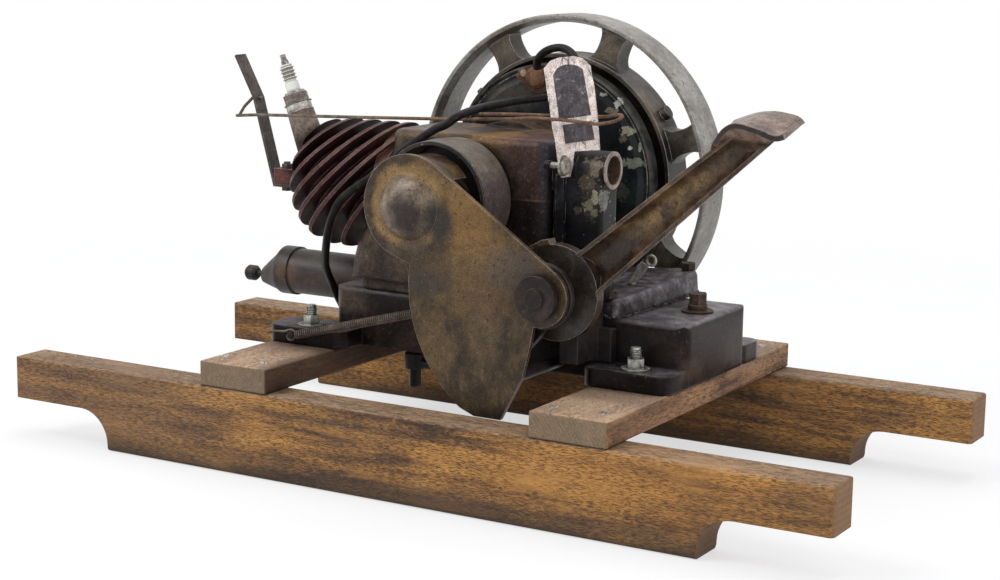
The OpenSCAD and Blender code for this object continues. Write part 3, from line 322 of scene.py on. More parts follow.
    def hollows(self, distance=0.02, low=0.35, high=0.95):
        """1 deep in corners and under overhangs, 0 in the open; darkening laid by it is painted shade."""
        ao = self.node("ShaderNodeAmbientOcclusion", {"Distance": distance}, samples=6).outputs["AO"]
        return self.step(ao, high, low)

    def bump(self, height, depth=0.0004, strength=1.0, rounding=0.0):
        """Relief of the given depth in metres; rounding softens the model's edges as well."""
        inputs = {"Height": height, "Distance": depth, "Strength": strength}
        if rounding:
            inputs["Normal"] = self.node("ShaderNodeBevel", {"Radius": rounding}, samples=6).outputs[0]
        self.set("Normal", self.node("ShaderNodeBump", inputs).outputs[0])


def oak(name, along, tones, top, end, stain, marks):
    """Old oak with its grain along one axis: pores, stains, greyed tops, growth rings on its ends and painted
    shade in its hollows.
    """
    p = Paint(name, rough=0.7, specular=0.3)

    def drawn(share):
        return p.stretched(**{along: share})

    grain = p.noise(130, 6, 0.62, 1.0, drawn(0.08))
    bands = p.noise(26, 4, 0.5, 2.5, p.stretched(**{along: 0.1}, shift=(0.3, 0.1, 0)))
    patches = p.noise(11, 5, 0.6, 0.6, drawn(0.5), seed=2)
    worn = p.plus(p.times(grain, 0.35), p.plus(p.times(bands, 0.3), p.times(patches, 0.35)))
    p.colour = p.ramp(worn, *zip((0.4, 0.455, 0.505, 0.56, 0.63), tones))
    upward = p.facing("Z")
    fibres = p.ramp(grain, (0.32, dim(top, 0.62)), (0.5, top), (0.66, dim(top, 1.25)))
    p.lay(upward, fibres, 0.88)
    pores = p.times(p.step(p.noise(1500, 3, 0.6, 0.3, drawn(0.11)), 0.5, 0.6),
                    p.step(p.noise(40, 4, 0.6, at=drawn(0.4), seed=4), 0.3, 0.5))
    p.lay(pores, dim(tones[1], 0.2), 0.75)
    dashes = p.times(p.step(p.noise(900, 2, 0.5, 0.3, drawn(0.22), 6.0), 0.6, 0.66),
                     p.step(p.noise(24, 4, seed=8), 0.36, 0.56))
    p.lay(dashes, dim(tones[1], 0.16), 0.75)
    flecks = p.step(p.noise(420, 3, 0.6, 0.3, drawn(0.35), 8.0), 0.56, 0.68)
    p.lay(flecks, dim(tones[3], 1.25), 0.35)
    specks = p.step(p.noise(1300, 2, 0.5, seed=7), 0.6, 0.68)
    p.lay(specks, dim(tones[0], 0.3), 0.6)
    blot = p.step(p.noise(16, 7, 0.7, 1.0, drawn(0.6), 9.0), 0.53, 0.66)
    p.lay(blot, stain, 0.36)
    for seed, (centre, reach, colour, amount) in enumerate(marks):
        mask = p.times(p.near(centre, reach, 0.6, 0.7, 30, seed), p.step(grain, 0.3, 0.6, 1.0, 0.45))
        p.lay(p.times(mask, p.minus(1.0, p.times(pores, 0.7))), colour, amount)
    damp = p.step(p.noise(40, 4, at=drawn(0.2)), 0.3, 0.6)
    low = p.times(p.below(p.z, 0.004, 0.02), damp)
    p.lay(low, dim(stain, 0.7), 0.75)
    butt = p.either(*(p.facing(along.upper(), 0.6, 0.9, sign) for sign in (1, -1)))
    waves = {"Vector": p.stretched(turn=(0.55, 0.55, 0.3)), "Scale": 110, "Distortion": 4.5, "Detail": 4.0,
             "Detail Scale": 4.0, "Detail Roughness": 0.7}
    rings = p.node("ShaderNodeTexWave", waves, wave_type="BANDS").outputs["Fac"]
    rings = p.plus(p.times(rings, 0.25), p.times(p.noise(240, 5, 0.7), 0.95))
    p.lay(butt, p.ramp(rings, (0.3, dim(end, 0.72)), (0.6, end), (0.9, dim(end, 1.2))), 0.9)
    dents = p.step(p.noise(45, 3, 0.5, seed=5), 0.6, 0.75)
    # Painted shade: darker in hollows and under overhangs, found by ambient occlusion.
    p.set("Base Color", p.mix(p.times(p.hollows(0.03), 0.6), p.colour, dim(stain, 0.35)))
    dug = p.plus(pores, p.times(dents, 0.6))
    p.bump(p.minus(p.times(grain, 0.7), dug), 0.0006, 0.8, 0.002)
    return p


def runner_oak(name):
    """The runners: orange-brown oak, greyer at the left end, more orange on the right, worn grey below."""
    return oak(name, "x", [(60, 34, 21), (180, 90, 37), (330, 162, 50), (470, 235, 64),
                           (290, 160, 74)], (360, 240, 150), (250, 140, 70), (85, 56, 38),
               [((-280, -172, 40), (120, 60, 60), (170, 105, 64), 0.6),
                ((-40, -172, 55), (60, 60, 12), (100, 62, 42), 0.3),
                ((256, -172, 22), (7, 60, 4), (50, 28, 18), 0.9),
                ((280, -172, 33), (14, 60, 14), (90, 53, 34), 0.6),
                ((362, -172, 58), (22, 60, 20), (100, 68, 45), 0.5),
                ((250, -172, 48), (170, 60, 26), (400, 180, 40), 0.45),
                ((100, -172, 6), (330, 60, 12), (85, 58, 40), 0.5),
                ((0, 172, 40), (400, 30, 30), (170, 85, 50), 0.5)])


def crossbar_oak(name):
    """The crossbars: dry grey-brown oak, dark along the left one's side and stained near the tank."""
    return oak(name, "y", [(70, 40, 24), (180, 100, 55), (330, 178, 92), (440, 240, 120),
                           (260, 172, 105)], (520, 355, 235), (200, 145, 90), (60, 42, 32),
               [((BAR_LEFT_SIDE, -60, 78), (9, 200, 40), (42, 22, 14), 0.85),
                ((BAR_RIGHT_SIDE, -100, 78), (7, 90, 14), (250, 120, 55), 0.6),
                ((150, -150, 92), (40, 30, 6), (420, 290, 190), 0.5),
                ((BAR_RIGHT_SIDE, 100, 92), (16, 60, 8), (400, 270, 170), 0.5),
                ((-148, -90, 92), (50, 26, 8), (70, 48, 35), 0.6),
                ((168, -95, 92), (60, 22, 8), (100, 68, 48), 0.55),
                ((168, 120, 92), (60, 40, 8), (140, 95, 65), 0.5)])


class Metal(Paint):
    """Weathered metal or paint: blotches through its tones, to which patches, wear, and dirt with painted shade
    in hollows are added.
    """

    def __init__(self, name, tones, rough=0.6, metallic=0.0, scale=22, specular=0.16, at=None, spread=0.36):
        super().__init__(name, rough=rough, metallic=metallic, specular=specular)
        where = self.stretched(*at) if at else None
        self.blotch = self.noise(scale, 8, 0.62, 0.8, where)
        self.speck = self.noise(420, 4, 0.6, 0.2)
        steps = len(tones) - 1
        stops = [(0.5 - spread / 2 + spread * i / steps, tone) for i, tone in enumerate(tones)]
        self.colour = self.ramp(self.blotch, *stops)

    def specks(self, colour, low=0.56, high=0.66, amount=0.7, scale=260, seed=3.0):
        return self.lay(self.step(self.noise(scale, 4, 0.6, 0.2, seed=seed), low, high), colour, amount)

    # Dirt and painted shade: a darker colour laid in the hollows that ambient occlusion finds.
    def grime_and_shade(self, colour, distance=0.02, amount=0.85, low=0.35, high=0.95):
        return self.lay(self.hollows(distance, low, high), colour, amount)

    def wear(self, colour, radius=0.0012, amount=0.8, ragged=(0.35, 0.6), low=0.02, high=0.25):
        mask = self.times(self.edges(radius, low, high), self.step(self.noise(70, 4), *ragged))
        return self.lay(mask, colour, amount)

    def patch(self, centre, reach, colour, amount=0.8, soft=0.5, ragged=0.6, scale=60, seed=0.0):
        return self.lay(self.near(centre, reach, soft, ragged, scale, seed), colour, amount)

    def chips(self, centre, reach, colour, amount=1.0, seed=0.0, scale=110, ragged=1.6):
        """Flaked paint: a sharp, ragged patch."""
        return self.lay(self.near(centre, reach, 0.06, ragged, scale, seed), colour, amount)

    def done(self, relief=0.0003, rounding=0.0012, spread=0.12, grit=0.5, broad=None):
        """Adds the last grit to the colour, then sets colour, roughness and relief."""
        fine = self.noise(900, 4, 0.75, 0.3, seed=11)
        coarse = self.noise(150, 5, 0.7, 0.5, seed=12)
        for value, amount in ((fine, grit), (coarse, grit * 0.7 if broad is None else broad)):
            tones = ((at, (1000 * share,) * 3) for at, share in (
                (0.34, 1 - amount), (0.5, 1), (0.66, 1 + amount * 0.9)))
            tone = self.ramp(value, *tones)
            self.colour = self.mix(1.0, self.colour, tone, "MULTIPLY")
        self.set("Base Color", self.colour)
        self.set("Roughness", self.step(self.blotch, 0.3, 0.7, self.rough + spread, self.rough - spread))
        height = self.plus(self.plus(self.times(self.blotch, 0.5), self.times(self.speck, 0.3)),
                           self.times(fine, 0.2))
        self.bump(height, relief, 0.7, rounding)
        return self


def tank_iron(name):
    """The tank: oily near-black iron, greyer on top, with rust in specks and low on its right end."""
    p = Metal(name, [(5, 4, 4), (12, 8, 7.5), (30, 20, 17)], rough=0.33, specular=0.13)
    p.lay(p.facing("Z"), p.mottle(
        (60, 6, 0.6), (0.35, (42, 36, 39)), (0.5, (95, 82, 89)), (0.65, (180, 157, 168))), 0.92)
    p.specks((100, 60, 45), 0.6, 0.68, 0.6)
    p.patch((-129, -40, 130), (30, 60, 12), (90, 62, 45), 0.75, scale=120, ragged=0.9)
    p.patch((TANK_RIGHT, -34, 106), (8, 20, 8), (60, 36, 24), 0.7, scale=120)
    p.patch((TANK_RIGHT, 60, 112), (8, 34, 16), (45, 32, 27), 0.7, scale=120)
    p.wear((120, 90, 75), 0.003, 0.55)
    p.grime_and_shade((4, 3.5, 3.5), 0.03, 0.7)
    return p.done(0.0005, 0.003)


def zinc_bolt(name):
    p = Metal(name, [(200, 200, 170), (420, 420, 370), (620, 620, 560)], rough=0.36, metallic=0.7, scale=90,
              spread=0.26)
    p.specks((60, 50, 35), 0.55, 0.64, 0.7, 300)
    p.grime_and_shade((20, 18, 14), 0.006, 0.9, 0.45, 0.98)
    p.wear((750, 750, 700), 0.0008, 0.7, (0.2, 0.4))
    return p.done(0.0001, 0.0006, grit=0.3)


def dark_bolt(name):
    p = Metal(name, [(30, 22, 20), (90, 60, 45), (170, 110, 75)], rough=0.6, metallic=0.2, scale=60)
    return p.done(0.0002, 0.0006)


def rusty_plug(name):
    p = Metal(name, [(20, 14, 12), (55, 35, 25), (120, 75, 50)], rough=0.55, metallic=0.2, scale=70)
    p.grime_and_shade((10, 8, 8), 0.008, 0.85)
    p.wear((260, 180, 130), 0.0009, 0.75, (0.25, 0.5))
    return p.done(0.0003, 0.0008)


def dark_iron(name):
    p = Metal(name, [(5, 4.5, 5), (14, 11, 11), (32, 23, 21)], rough=0.45, specular=0.25)
    p.wear((100, 75, 65), 0.0015, 0.6)
    return p.done(0.0004, 0.0015)


def rusty_case(name):
    """The crankcase: brown rust, ochre stains at its top, oily black low down, a mottled grey flange and a
    painted bluish highlight down its right front corner.
    """
    p = Metal(name, [(18, 12, 10), (42, 26, 18), (85, 53, 34), (135, 87, 56)], rough=0.42, scale=38)
    p.patch((-30, -49, 268), (44, 30, 24), (120, 75, 42), 0.75, scale=50)
    p.patch((26, -49, 279), (22, 40, 8), (270, 140, 45), 0.8, scale=80)
    p.patch((-12, -49, 284), (18, 30, 8), (200, 120, 50), 0.75, scale=80, seed=2)
    p.patch((30, -49, 262), (30, 20, 14), (85, 52, 33), 0.7, scale=90)
    p.patch((66, -44, 262), (26, 40, 26), (50, 28, 25), 0.85, scale=60)
    p.patch((62, -40, 284), (30, 50, 7), (90, 40, 32), 0.8, scale=60)
    right = p.step(p.x, 0.03, 0.05)
    p.lay(p.times(right, p.below(p.z, 0.2295, 0.2315)), (13, 10, 11), 0.85)
    p.lay(p.times(right, p.between(p.z, 0.2303, 0.2318, 0.0004)), (110, 80, 65), 0.7)
    # Painted highlight: a bluish reflection down the rounded right front corner, dimmer below the parting line.
    p.patch((79, -43, 262), (7, 12, 24), (50, 50, 75), 0.75, ragged=0.5)
    p.patch((78, -43, 215), (6, 12, 60), (28, 23, 28), 0.6, ragged=0.5)
    left = p.below(p.x, -0.08, -0.045)
    p.lay(left, p.ramp(p.noise(50, 6, 0.65, 0.5, p.stretched(1, 1, 0.45)), (0.36, (18, 13, 10)),
                       (0.5, (40, 28, 21)), (0.62, (80, 56, 42)), (0.7, (150, 110, 85))), 0.85)
    deck = p.times(p.below(p.z, 0.158, 0.166), p.step(p.x, 0.085, 0.095))
    p.lay(deck, p.mottle(
        (75, 7, 0.7, 0.5), (0.36, (20, 16, 17)), (0.5, (75, 62, 69)), (0.64, (200, 175, 188))), 0.95)
    p.specks((170, 120, 85), 0.58, 0.66, 0.45, 330)
    p.specks((12, 10, 10), 0.58, 0.64, 0.6, 420, 6.0)
    p.grime_and_shade((6, 5, 5), 0.025, 0.85)
    p.wear((200, 150, 120), 0.0012, 0.45)
    return p.done(0.0008, 0.003, grit=0.6)


def maroon_iron(name):
    """The finned cylinder: sooty maroon paint with painted shade deep between the fins, worn to a thin pinkish
    tan line along the fins' rims.
    """
    p = Metal(name, [(26, 10.5, 11), (55, 21, 21), (95, 38, 35)], rough=0.46, scale=45)
    from_axis = p.radius(y=0, z=225)
    # Painted shade: darker near the barrel, deep between the fins.
    p.lay(p.below(from_axis, 0.038, 0.052), (16, 6.5, 6.5), 0.85)
    ashy = p.step(p.noise(42, 5, 0.6, seed=2), 0.54, 0.66)
    p.lay(ashy, (85, 45, 34), 0.45)
    p.patch((-195, 0, 288), (19, 22, 22), (300, 250, 200), 0.9, scale=110)
    p.specks((60, 45, 36), 0.55, 0.64, 0.5, 200)
    p.patch((-82, -20, 270), (18, 40, 14), (170, 105, 75), 0.85, scale=90)
    p.patch((-92, -38, 258), (14, 18, 10), (130, 50, 38), 0.7, scale=90)
    p.patch((-219, 0, 225), (9, 14, 8), (140, 50, 40), 0.8)
    rim = p.times(p.step(from_axis, 0.0553, 0.0558), p.step(p.noise(60, 4), 0.25, 0.5))
    p.lay(rim, (70, 32, 29), 0.6)
    p.wear((480, 330, 280), 0.0008, 0.9, (0.28, 0.48), 0.04, 0.13)
    return p.done(0.0003, 0.0008)


def plated_shell(name):
    """The plug's shell: a bright collar under a brown-stained hexagon."""
    p = Metal(name, [(200, 190, 170), (420, 400, 360), (660, 640, 590)], rough=0.36, metallic=0.5, scale=110,
              spread=0.28)
    along = p.along_plug()
    hexagon = p.between(along, 0.3448, 0.3532, 0.0002)
    p.lay(hexagon, p.mottle(
        (120, 5), (0.36, (50, 35, 30)), (0.52, (140, 105, 90)), (0.66, (340, 280, 250))), 0.9)
    p.lay(p.below(along, 0.334, 0.337), (160, 130, 110), 0.8)
    p.specks((80, 50, 35), 0.57, 0.64, 0.7, 380)
    p.lay(p.between(along, 0.3443, 0.3449, 0.0002), (30, 22, 20), 0.8)
    p.wear((500, 440, 400), 0.0008, 0.7, (0.2, 0.4))
    p.grime_and_shade((50, 35, 30), 0.006, 0.7)
    return p.done(0.0003, 0.0006, grit=0.35)


def porcelain(name):
    """Glazed porcelain, stained between its ribs, and its metal terminal on top."""
    p = Metal(name, [(620, 630, 540), (780, 780, 720)], rough=0.25, specular=0.5)
    along = p.along_plug()
    aside = p.plus(p.times(p.z, PLUG_TILT[0]), p.times(p.x, PLUG_TILT[1]))
    from_line = p.hypot(p.y, p.plus(aside, PLUG_OFF))
    between_ribs = p.times(p.below(from_line, 0.0058, 0.0064), p.between(along, 0.3665, 0.3795, 0.0004))
    p.lay(between_ribs, (200, 190, 140), 0.85)
    p.grime_and_shade((130, 110, 75), 0.003, 0.7, 0.55, 0.95)
    top = p.step(along, 0.3805, 0.381)
    p.lay(top, p.mottle((300, 4), (0.4, (100, 90, 80)), (0.6, (420, 400, 370))))
    return p.done(0.00005, 0.0004, 0.05, grit=0.08)


def dark_steel(name):
    p = Metal(name, [(45, 36, 32), (85, 70, 63), (130, 108, 96)], rough=0.48, metallic=0.1,
              scale=40, at=(1, 1, 0.4))
    p.wear((300, 240, 210), 0.0008, 0.6)
    p.specks((30, 24, 20), 0.58, 0.66, 0.5)
    low = p.below(p.z, 0.125, 0.145)
    p.lay(low, (16, 17, 20), 0.9)
    return p.done(0.0002, 0.0008)


def rusty_wire(name):
    p = Metal(name, [(60, 35, 24), (140, 80, 50), (220, 140, 90)], rough=0.6, scale=90)
    p.lay(p.below(p.x, -0.15, -0.05), p.mottle((130, 4), (0.36, (70, 55, 40)), (0.64, (200, 165, 125))), 0.85)
    return p.done(0.0001, 0.0)


def shaft_steel(name):
    return Metal(name, [(60, 50, 45), (120, 100, 90), (200, 170, 150)], rough=0.45, metallic=0.5).done()


def pulley_steel(name):
    """The belt pulley: dull olive-tan above, a purple stain at its right, black in its front."""
    p = Metal(name, [(70, 52, 38), (115, 88, 66), (170, 132, 100), (230, 185, 145)],
              rough=0.42, metallic=0.1, scale=30, at=(1, 0.5, 1), specular=0.3)
    p.patch((55, -75, 236), (26, 40, 20), (85, 60, 66), 0.8, scale=50)
    p.patch((30, -75, 275), (24, 40, 14), (100, 85, 62), 0.6, scale=70)
    marks = p.noise(700, 2, 0.5, at=p.stretched(0.05, 1, 0.05))
    p.lay(p.step(marks, 0.52, 0.64), (60, 46, 38), 0.4)
    from_axis = p.radius(**CRANK)
    front = p.times(p.below(p.y, -0.0948, -0.094), p.step(from_axis, 0.044, 0.0445))
    p.lay(front, (20, 18, 20), 0.92)
    p.lay(p.times(p.below(from_axis, 0.0452, 0.0458), p.step(from_axis, 0.019, 0.02)), (9, 8, 9), 0.9)
    p.specks((360, 320, 240), 0.63, 0.68, 0.5)
    p.specks((40, 30, 26), 0.6, 0.66, 0.6, 300, 5.0)
    p.wear((400, 340, 280), 0.001, 0.6, (0.3, 0.55))
    return p.done(0.0003, 0.0012)


def wheel_aluminium(name):
    """The flywheel: a dull, machined rim outside, olive and brown stains on its spokes and drum, with painted
    shade on the drum's right and painted highlights on its top.
    """
    p = Metal(name, [(130, 115, 100), (240, 225, 200), (380, 365, 335)], rough=0.42, metallic=0.35,
              scale=18, specular=0.3)
    from_axis = p.radius(**CRANK)
    stains = p.ramp(p.noise(26, 7, 0.65, 0.6, seed=2), (0.34, (14, 11, 9)), (0.45, (55, 44, 31)),
                    (0.55, (140, 115, 80)), (0.63, (220, 190, 135)), (0.72, (360, 320, 260)))
    p.lay(p.below(from_axis, 0.1335, 0.136), stains, 0.95)
    p.lay(p.below(from_axis, 0.1088, 0.1094), p.ramp(
        p.noise(60, 5, 0.6, seed=6), (0.35, (12, 10, 10)), (0.65, (60, 47, 37))), 0.8)
    p.patch((-55, 110, 340), (40, 40, 26), (150, 120, 85), 0.5)
    # Painted shade on the drum's right side, and tan painted highlights on its upper right and top.
    p.patch((112, 110, 250), (14, 40, 26), (22, 18, 16), 0.75)
    p.patch((86, 104, 296), (24, 30, 26), (260, 205, 145), 0.65, scale=90)
    p.patch((30, 104, 340), (26, 30, 14), (200, 165, 120), 0.6, scale=90)
    p.specks((14, 12, 12), 0.58, 0.66, 0.6, 200)
    p.grime_and_shade((10, 8, 7), 0.03, 0.8)
    p.wear((620, 600, 570), 0.001, 0.75, (0.3, 0.5), 0.02, 0.2)
    return p.done(0.0004, 0.0015, grit=0.4)


def black_enamel(name):
    """The magneto's backplate: greenish black enamel, chipped to cream and green, with a worn rolled edge."""
    p = Metal(name, [(4, 5, 6), (9, 11, 12), (22, 28, 28)], rough=0.35)
    p.lay(p.step(p.noise(20, 5, 0.6, seed=5), 0.56, 0.7), (50, 50, 40), 0.5)
    p.patch((-38, 96, 300), (26, 6, 12), (70, 62, 45), 0.7, scale=120, ragged=1.0)
    for seed, (place, reach, colour) in enumerate([
            ((66, 96, 300), (5, 6, 5), (500, 500, 450)), ((61, 96, 293), (5, 6, 3), (160, 135, 100)),
            ((77, 96, 276), (6, 6, 4), (260, 250, 170)), ((73, 96, 269), (4, 6, 3), (100, 85, 65)),
            ((84, 96, 249), (11, 6, 4), (140, 150, 110)), ((80, 96, 262), (2, 6, 2), (420, 420, 380)),
            ((88, 96, 262), (1.4, 6, 5), (260, 260, 200)), ((74, 96, 224), (6, 6, 9), (50, 52, 38)),
            ((52, 96, 306), (4, 6, 2), (300, 290, 250))], 1):
        p.chips(place, reach, colour, 0.9, seed, 210)
    from_axis = p.radius(**CRANK)
    worn = p.step(p.noise(55, 6, 0.7), 0.38, 0.55)
    bead = p.either(p.between(from_axis, 0.0958, 0.0966, 0.0002), p.between(from_axis, 0.0984, 0.0996, 0.0003))
    p.lay(p.times(bead, worn), p.mottle((90, 4), (0.35, (120, 110, 95)), (0.62, (400, 370, 330))), 0.85)
    p.lay(p.times(p.step(from_axis, 0.0966, 0.0985), worn), (75, 66, 55), 0.6)
    return p.done(0.0003, 0.001)


def brown_cap(name):
    p = Metal(name, [(50, 22, 13), (100, 45, 25), (190, 100, 55)], rough=0.48, scale=60)
    p.patch((-24.4, 90, 321), (4, 6, 4), (450, 340, 220), 0.8, 0.2, 0.2)
    p.grime_and_shade((30, 18, 13), 0.01, 0.7)
    p.wear((360, 260, 170), 0.0008, 0.7)
    return p.done(0.0003, 0.001)


def duct_iron(name):
    p = Metal(name, [(10, 8, 8), (24, 17, 16), (50, 34, 28), (75, 50, 38)],
              rough=0.45, scale=26, at=(0.6, 1, 1), specular=0.3)
    p.patch((-246, 22, 133), (9, 30, 18), (12, 11, 13), 0.8)
    p.patch((-250, 22, 141), (6, 30, 14), (90, 66, 55), 0.6)
    p.patch((-215, 4, 138), (14, 12, 8), (120, 70, 45), 0.6)
    p.wear((200, 150, 125), 0.0014, 0.6)
    return p.done(0.0003, 0.0015)


def black_carburettor(name):
    """Black paint that has flaked off in pale, crusted patches."""
    p = Metal(name, [(4, 4, 5), (10, 9.5, 11), (24, 22, 25)], rough=0.4, scale=40)
    tan, cream, green = (110, 85, 55), (300, 280, 200), (170, 165, 100)
    p.patch((118, -46, 240), (6, 20, 24), tan, 0.35, scale=170, ragged=1.4)
    for seed, (place, reach, colour) in enumerate([
            ((112, -52, 268), (6, 9, 4), (130, 120, 90)), ((121, -46, 262), (6, 12, 7), (150, 120, 85)),
            ((114, -47, 249), (7, 8, 6), (100, 75, 50)), ((121, -47, 238), (2.6, 8, 6), cream),
            ((122, -47, 225), (3, 8, 4), green), ((126, -40, 236), (2, 9, 9), (200, 185, 160)),
            ((106, -47, 227), (3, 8, 3), (60, 50, 45)), ((98, -50, 262), (4, 10, 4), green),
            ((116, -47, 231), (4, 8, 5), green)], 1):
        p.chips(place, reach, colour, 0.85, seed, 230)
    flakes = p.step(p.noise(420, 4, 0.6, seed=4), 0.6, 0.66)
    p.lay(p.times(flakes, p.near((119, -46, 240), (9, 12, 26), 0.4, 0.5)), cream, 0.8)
    p.lay(p.step(p.z, 0.228, 0.212), (5, 5, 6), 0.9)
    mouth = p.radius(y=-30.8, z=258.5)
    lip = p.times(p.step(p.x, 0.1283, 0.1288), p.step(mouth, 0.0114, 0.0118))
    p.lay(lip, p.mottle((90, 4), (0.35, (160, 110, 85)), (0.6, (360, 290, 240))), 0.95)
    p.lay(p.below(mouth, 0.0117, 0.0119), (100, 65, 45), 0.85)
    p.wear((340, 320, 220), 0.0009, 0.9, (0.46, 0.58))
    p.specks((280, 260, 200), 0.64, 0.68, 0.7, 240)
    return p.done(0.0004, 0.001)


def knob_metal(name):
    p = Metal(name, [(130, 120, 100), (280, 260, 220), (420, 400, 350)], rough=0.42, metallic=0.35, scale=80)
    p.grime_and_shade((40, 35, 28), 0.006, 0.8)
    p.wear((550, 520, 460), 0.0007, 0.6)
    return p.done(0.0001, 0.0006)


def paper_tag(name):
    """Enamelled tag: cream with a pinkish cast, yellowed and cracked along its edges."""
    p = Metal(name, [(500, 400, 360), (680, 580, 530), (800, 700, 650)], rough=0.5, scale=45)
    p.specks((400, 270, 130), 0.58, 0.68, 0.5, 120)
    cracks = p.below(p.cracks(190, p.stretched(1, 1, 0.35)), 0.02, 0.05)
    p.lay(p.times(cracks, p.step(p.noise(60, 4, seed=3), 0.5, 0.6)), (100, 80, 70), 0.85)
    p.wear((80, 60, 50), 0.0016, 0.8, (0.48, 0.58))
    return p.done(0.00015, 0.0)


def tag_panel_paint(name):
    p = Metal(name, [(50, 44, 48), (80, 70, 76), (130, 118, 125)], rough=0.5, scale=120)
    p.specks((400, 340, 310), 0.6, 0.66, 0.6, 260)
    return p.done(0.0001, 0.0)


def pin_steel(name):
    p = Metal(name, [(8, 6, 5), (18, 12, 10.5), (42, 28, 23)], rough=0.4, specular=0.2, scale=50)
    p.wear((180, 140, 120), 0.001, 0.7)
    p.grime_and_shade((6, 5, 5), 0.01, 0.7)
    return p.done(0.0002, 0.0012)


def guard_rust(name):
    """The guard: ochre and rust, a dark purple middle in a dome ringed with gold, darker low down."""
    p = Metal(name, [(22, 15, 9), (55, 34, 16), (105, 64, 26), (180, 110, 46)],
              rough=0.34, scale=30, specular=0.24)
    dome = p.radius(**CRANK)
    warp = p.times(p.minus(p.noise(60, 5, 0.65), 0.5), 0.016)
    dome = p.plus(dome, warp)
    left = p.times(p.step(dome, 0.033, 0.038), p.below(p.x, -0.012, 0.016))
    p.lay(left, p.mottle((80, 7, 0.7), (0.35, (13, 9, 7)), (0.5, (34, 23, 15)), (0.64, (80, 56, 38))), 0.93)
    low = p.below(p.z, 0.14, 0.2)
    streaks = p.ramp(p.noise(85, 8, 0.75, 0.3, p.stretched(1, 1, 0.6)), (0.36, (10, 7, 5)),
                     (0.46, (24, 16, 9)), (0.55, (54, 35, 16)), (0.66, (110, 72, 31)))
    p.lay(low, streaks, 0.85)
    p.patch((55, -131, 224), (24, 9, 26), (190, 102, 30), 0.7, scale=90)
    p.patch((78, -131, 200), (22, 9, 16), (140, 78, 28), 0.5, scale=90)
    p.patch((62, -131, 168), (26, 9, 22), (125, 68, 26), 0.5, scale=90)
    p.patch((26, -131, 118), (16, 9, 26), (130, 78, 32), 0.5, scale=90, seed=4)
    p.patch((70, -131, 135), (14, 9, 24), (110, 70, 35), 0.5, scale=90)
    p.patch((20, -131, 172), (20, 9, 10), (32, 27, 22), 0.75, seed=2)
    p.patch((96, -131, 190), (24, 12, 16), (70, 50, 38), 0.7)
    gold = p.between(dome, 0.025, 0.033, 0.004)
    p.lay(gold, (250, 155, 62), 0.75)
    p.lay(p.below(dome, 0.0205, 0.0275), p.mottle(
        (90, 6, 0.65), (0.36, (90, 66, 47)), (0.5, (170, 128, 90)), (0.64, (270, 208, 150))), 0.9)
    p.patch((4, -143, 222), (17, 20, 18), (22, 15, 15), 0.95, 0.5, 0.6)
    p.patch((30, -131, 221), (11, 12, 17), (20, 18, 16), 0.95, 0.5, 0.7)
    p.patch((6, -131, 200), (14, 12, 8), (45, 34, 25), 0.7, 0.5, 0.7)
    p.specks((16, 12, 9), 0.59, 0.66, 0.75, 260)
    p.specks((250, 180, 90), 0.62, 0.68, 0.5, 420, 8.0)
    p.grime_and_shade((14, 10, 8), 0.02, 0.75)
    p.wear((400, 310, 260), 0.0012, 0.8, (0.25, 0.5), 0.02, 0.2)
    return p.done(0.0008, 0.0012, grit=0.6, broad=0.25)


def pedal_brown(name):
    """The pedal: brown with a painted gold highlight along its trough, dark walls and hub, and a worn tan foot
    pad.
    """
    p = Metal(name, [(12, 8, 6), (34, 20, 12), (78, 46, 24), (130, 80, 38)], rough=0.32, scale=38, specular=0.3)
    # Painted highlight: a gold band along the middle of the trough, where light falls on the half-pipe.
    across = p.minus(p.times(p.minus(p.z, PIVOT[1]), math.cos(ARM_ANGLE)),
                     p.times(p.minus(p.x, PIVOT[0]), math.sin(ARM_ANGLE)))
    gold = p.times(p.between(across, -0.008, 0.002, 0.005), p.step(p.x, 0.17, 0.2),
                   p.step(p.noise(50, 6, 0.65, seed=4), 0.36, 0.56), p.step(p.z, 0.288, 0.27))
    p.lay(gold, (240, 148, 50), 0.85)
    p.patch((160, -108, 205), (18, 20, 18), (30, 21, 15), 0.7)
    p.patch((236, -108, 282), (20, 20, 14), (35, 25, 18), 0.6)
    hub = p.radius(x=PIVOT[0] / MM, z=PIVOT[1] / MM)
    p.lay(p.below(hub, 0.0375, 0.0385), p.mottle(
        (50, 5), (0.35, (10, 8, 7)), (0.5, (18, 14, 11)), (0.65, (40, 32, 25))), 0.95)
    pad = p.times(p.step(p.z, 0.297, 0.301), p.step(p.y, -0.1178, -0.1172))
    p.lay(pad, p.mottle(
        (75, 6, 0.65), (0.34, (70, 45, 35)), (0.5, (160, 105, 78)), (0.66, (280, 200, 155))), 0.9)
    front = p.times(p.facing("Y", 0.4, 0.8, -1), p.step(p.y, -0.1172, -0.1178))
    p.lay(p.times(front, p.step(p.x, 0.25, 0.254)), (22, 15, 16), 0.9)
    p.specks((8, 6, 5), 0.58, 0.66, 0.6, 240)
    p.wear((420, 330, 270), 0.001, 0.75, (0.3, 0.5), 0.02, 0.2)
    return p.done(0.0005, 0.0012, grit=0.55)


def spring_steel(name):
    p = Metal(name, [(50, 35, 28), (120, 88, 70), (220, 170, 140)], rough=0.42, metallic=0.2, scale=50)
    return p.done(0.0001, 0.0)


def lead_rubber(name):
    p = Metal(name, [(6, 5, 5.5), (11, 9, 9.5), (22, 18, 18)], rough=0.36, scale=70, specular=0.12)
    p.specks((75, 60, 55), 0.6, 0.68, 0.4)
    return p.done(0.0002, 0.0)


def gasket_paper(name):
    # Near-black paper; its pale tone paints highlights on the torn fibres.
    return Metal(name, [(6, 5, 6), (60, 50, 48), (340, 300, 285)], rough=0.8, scale=340).done(0.0005, 0.0)


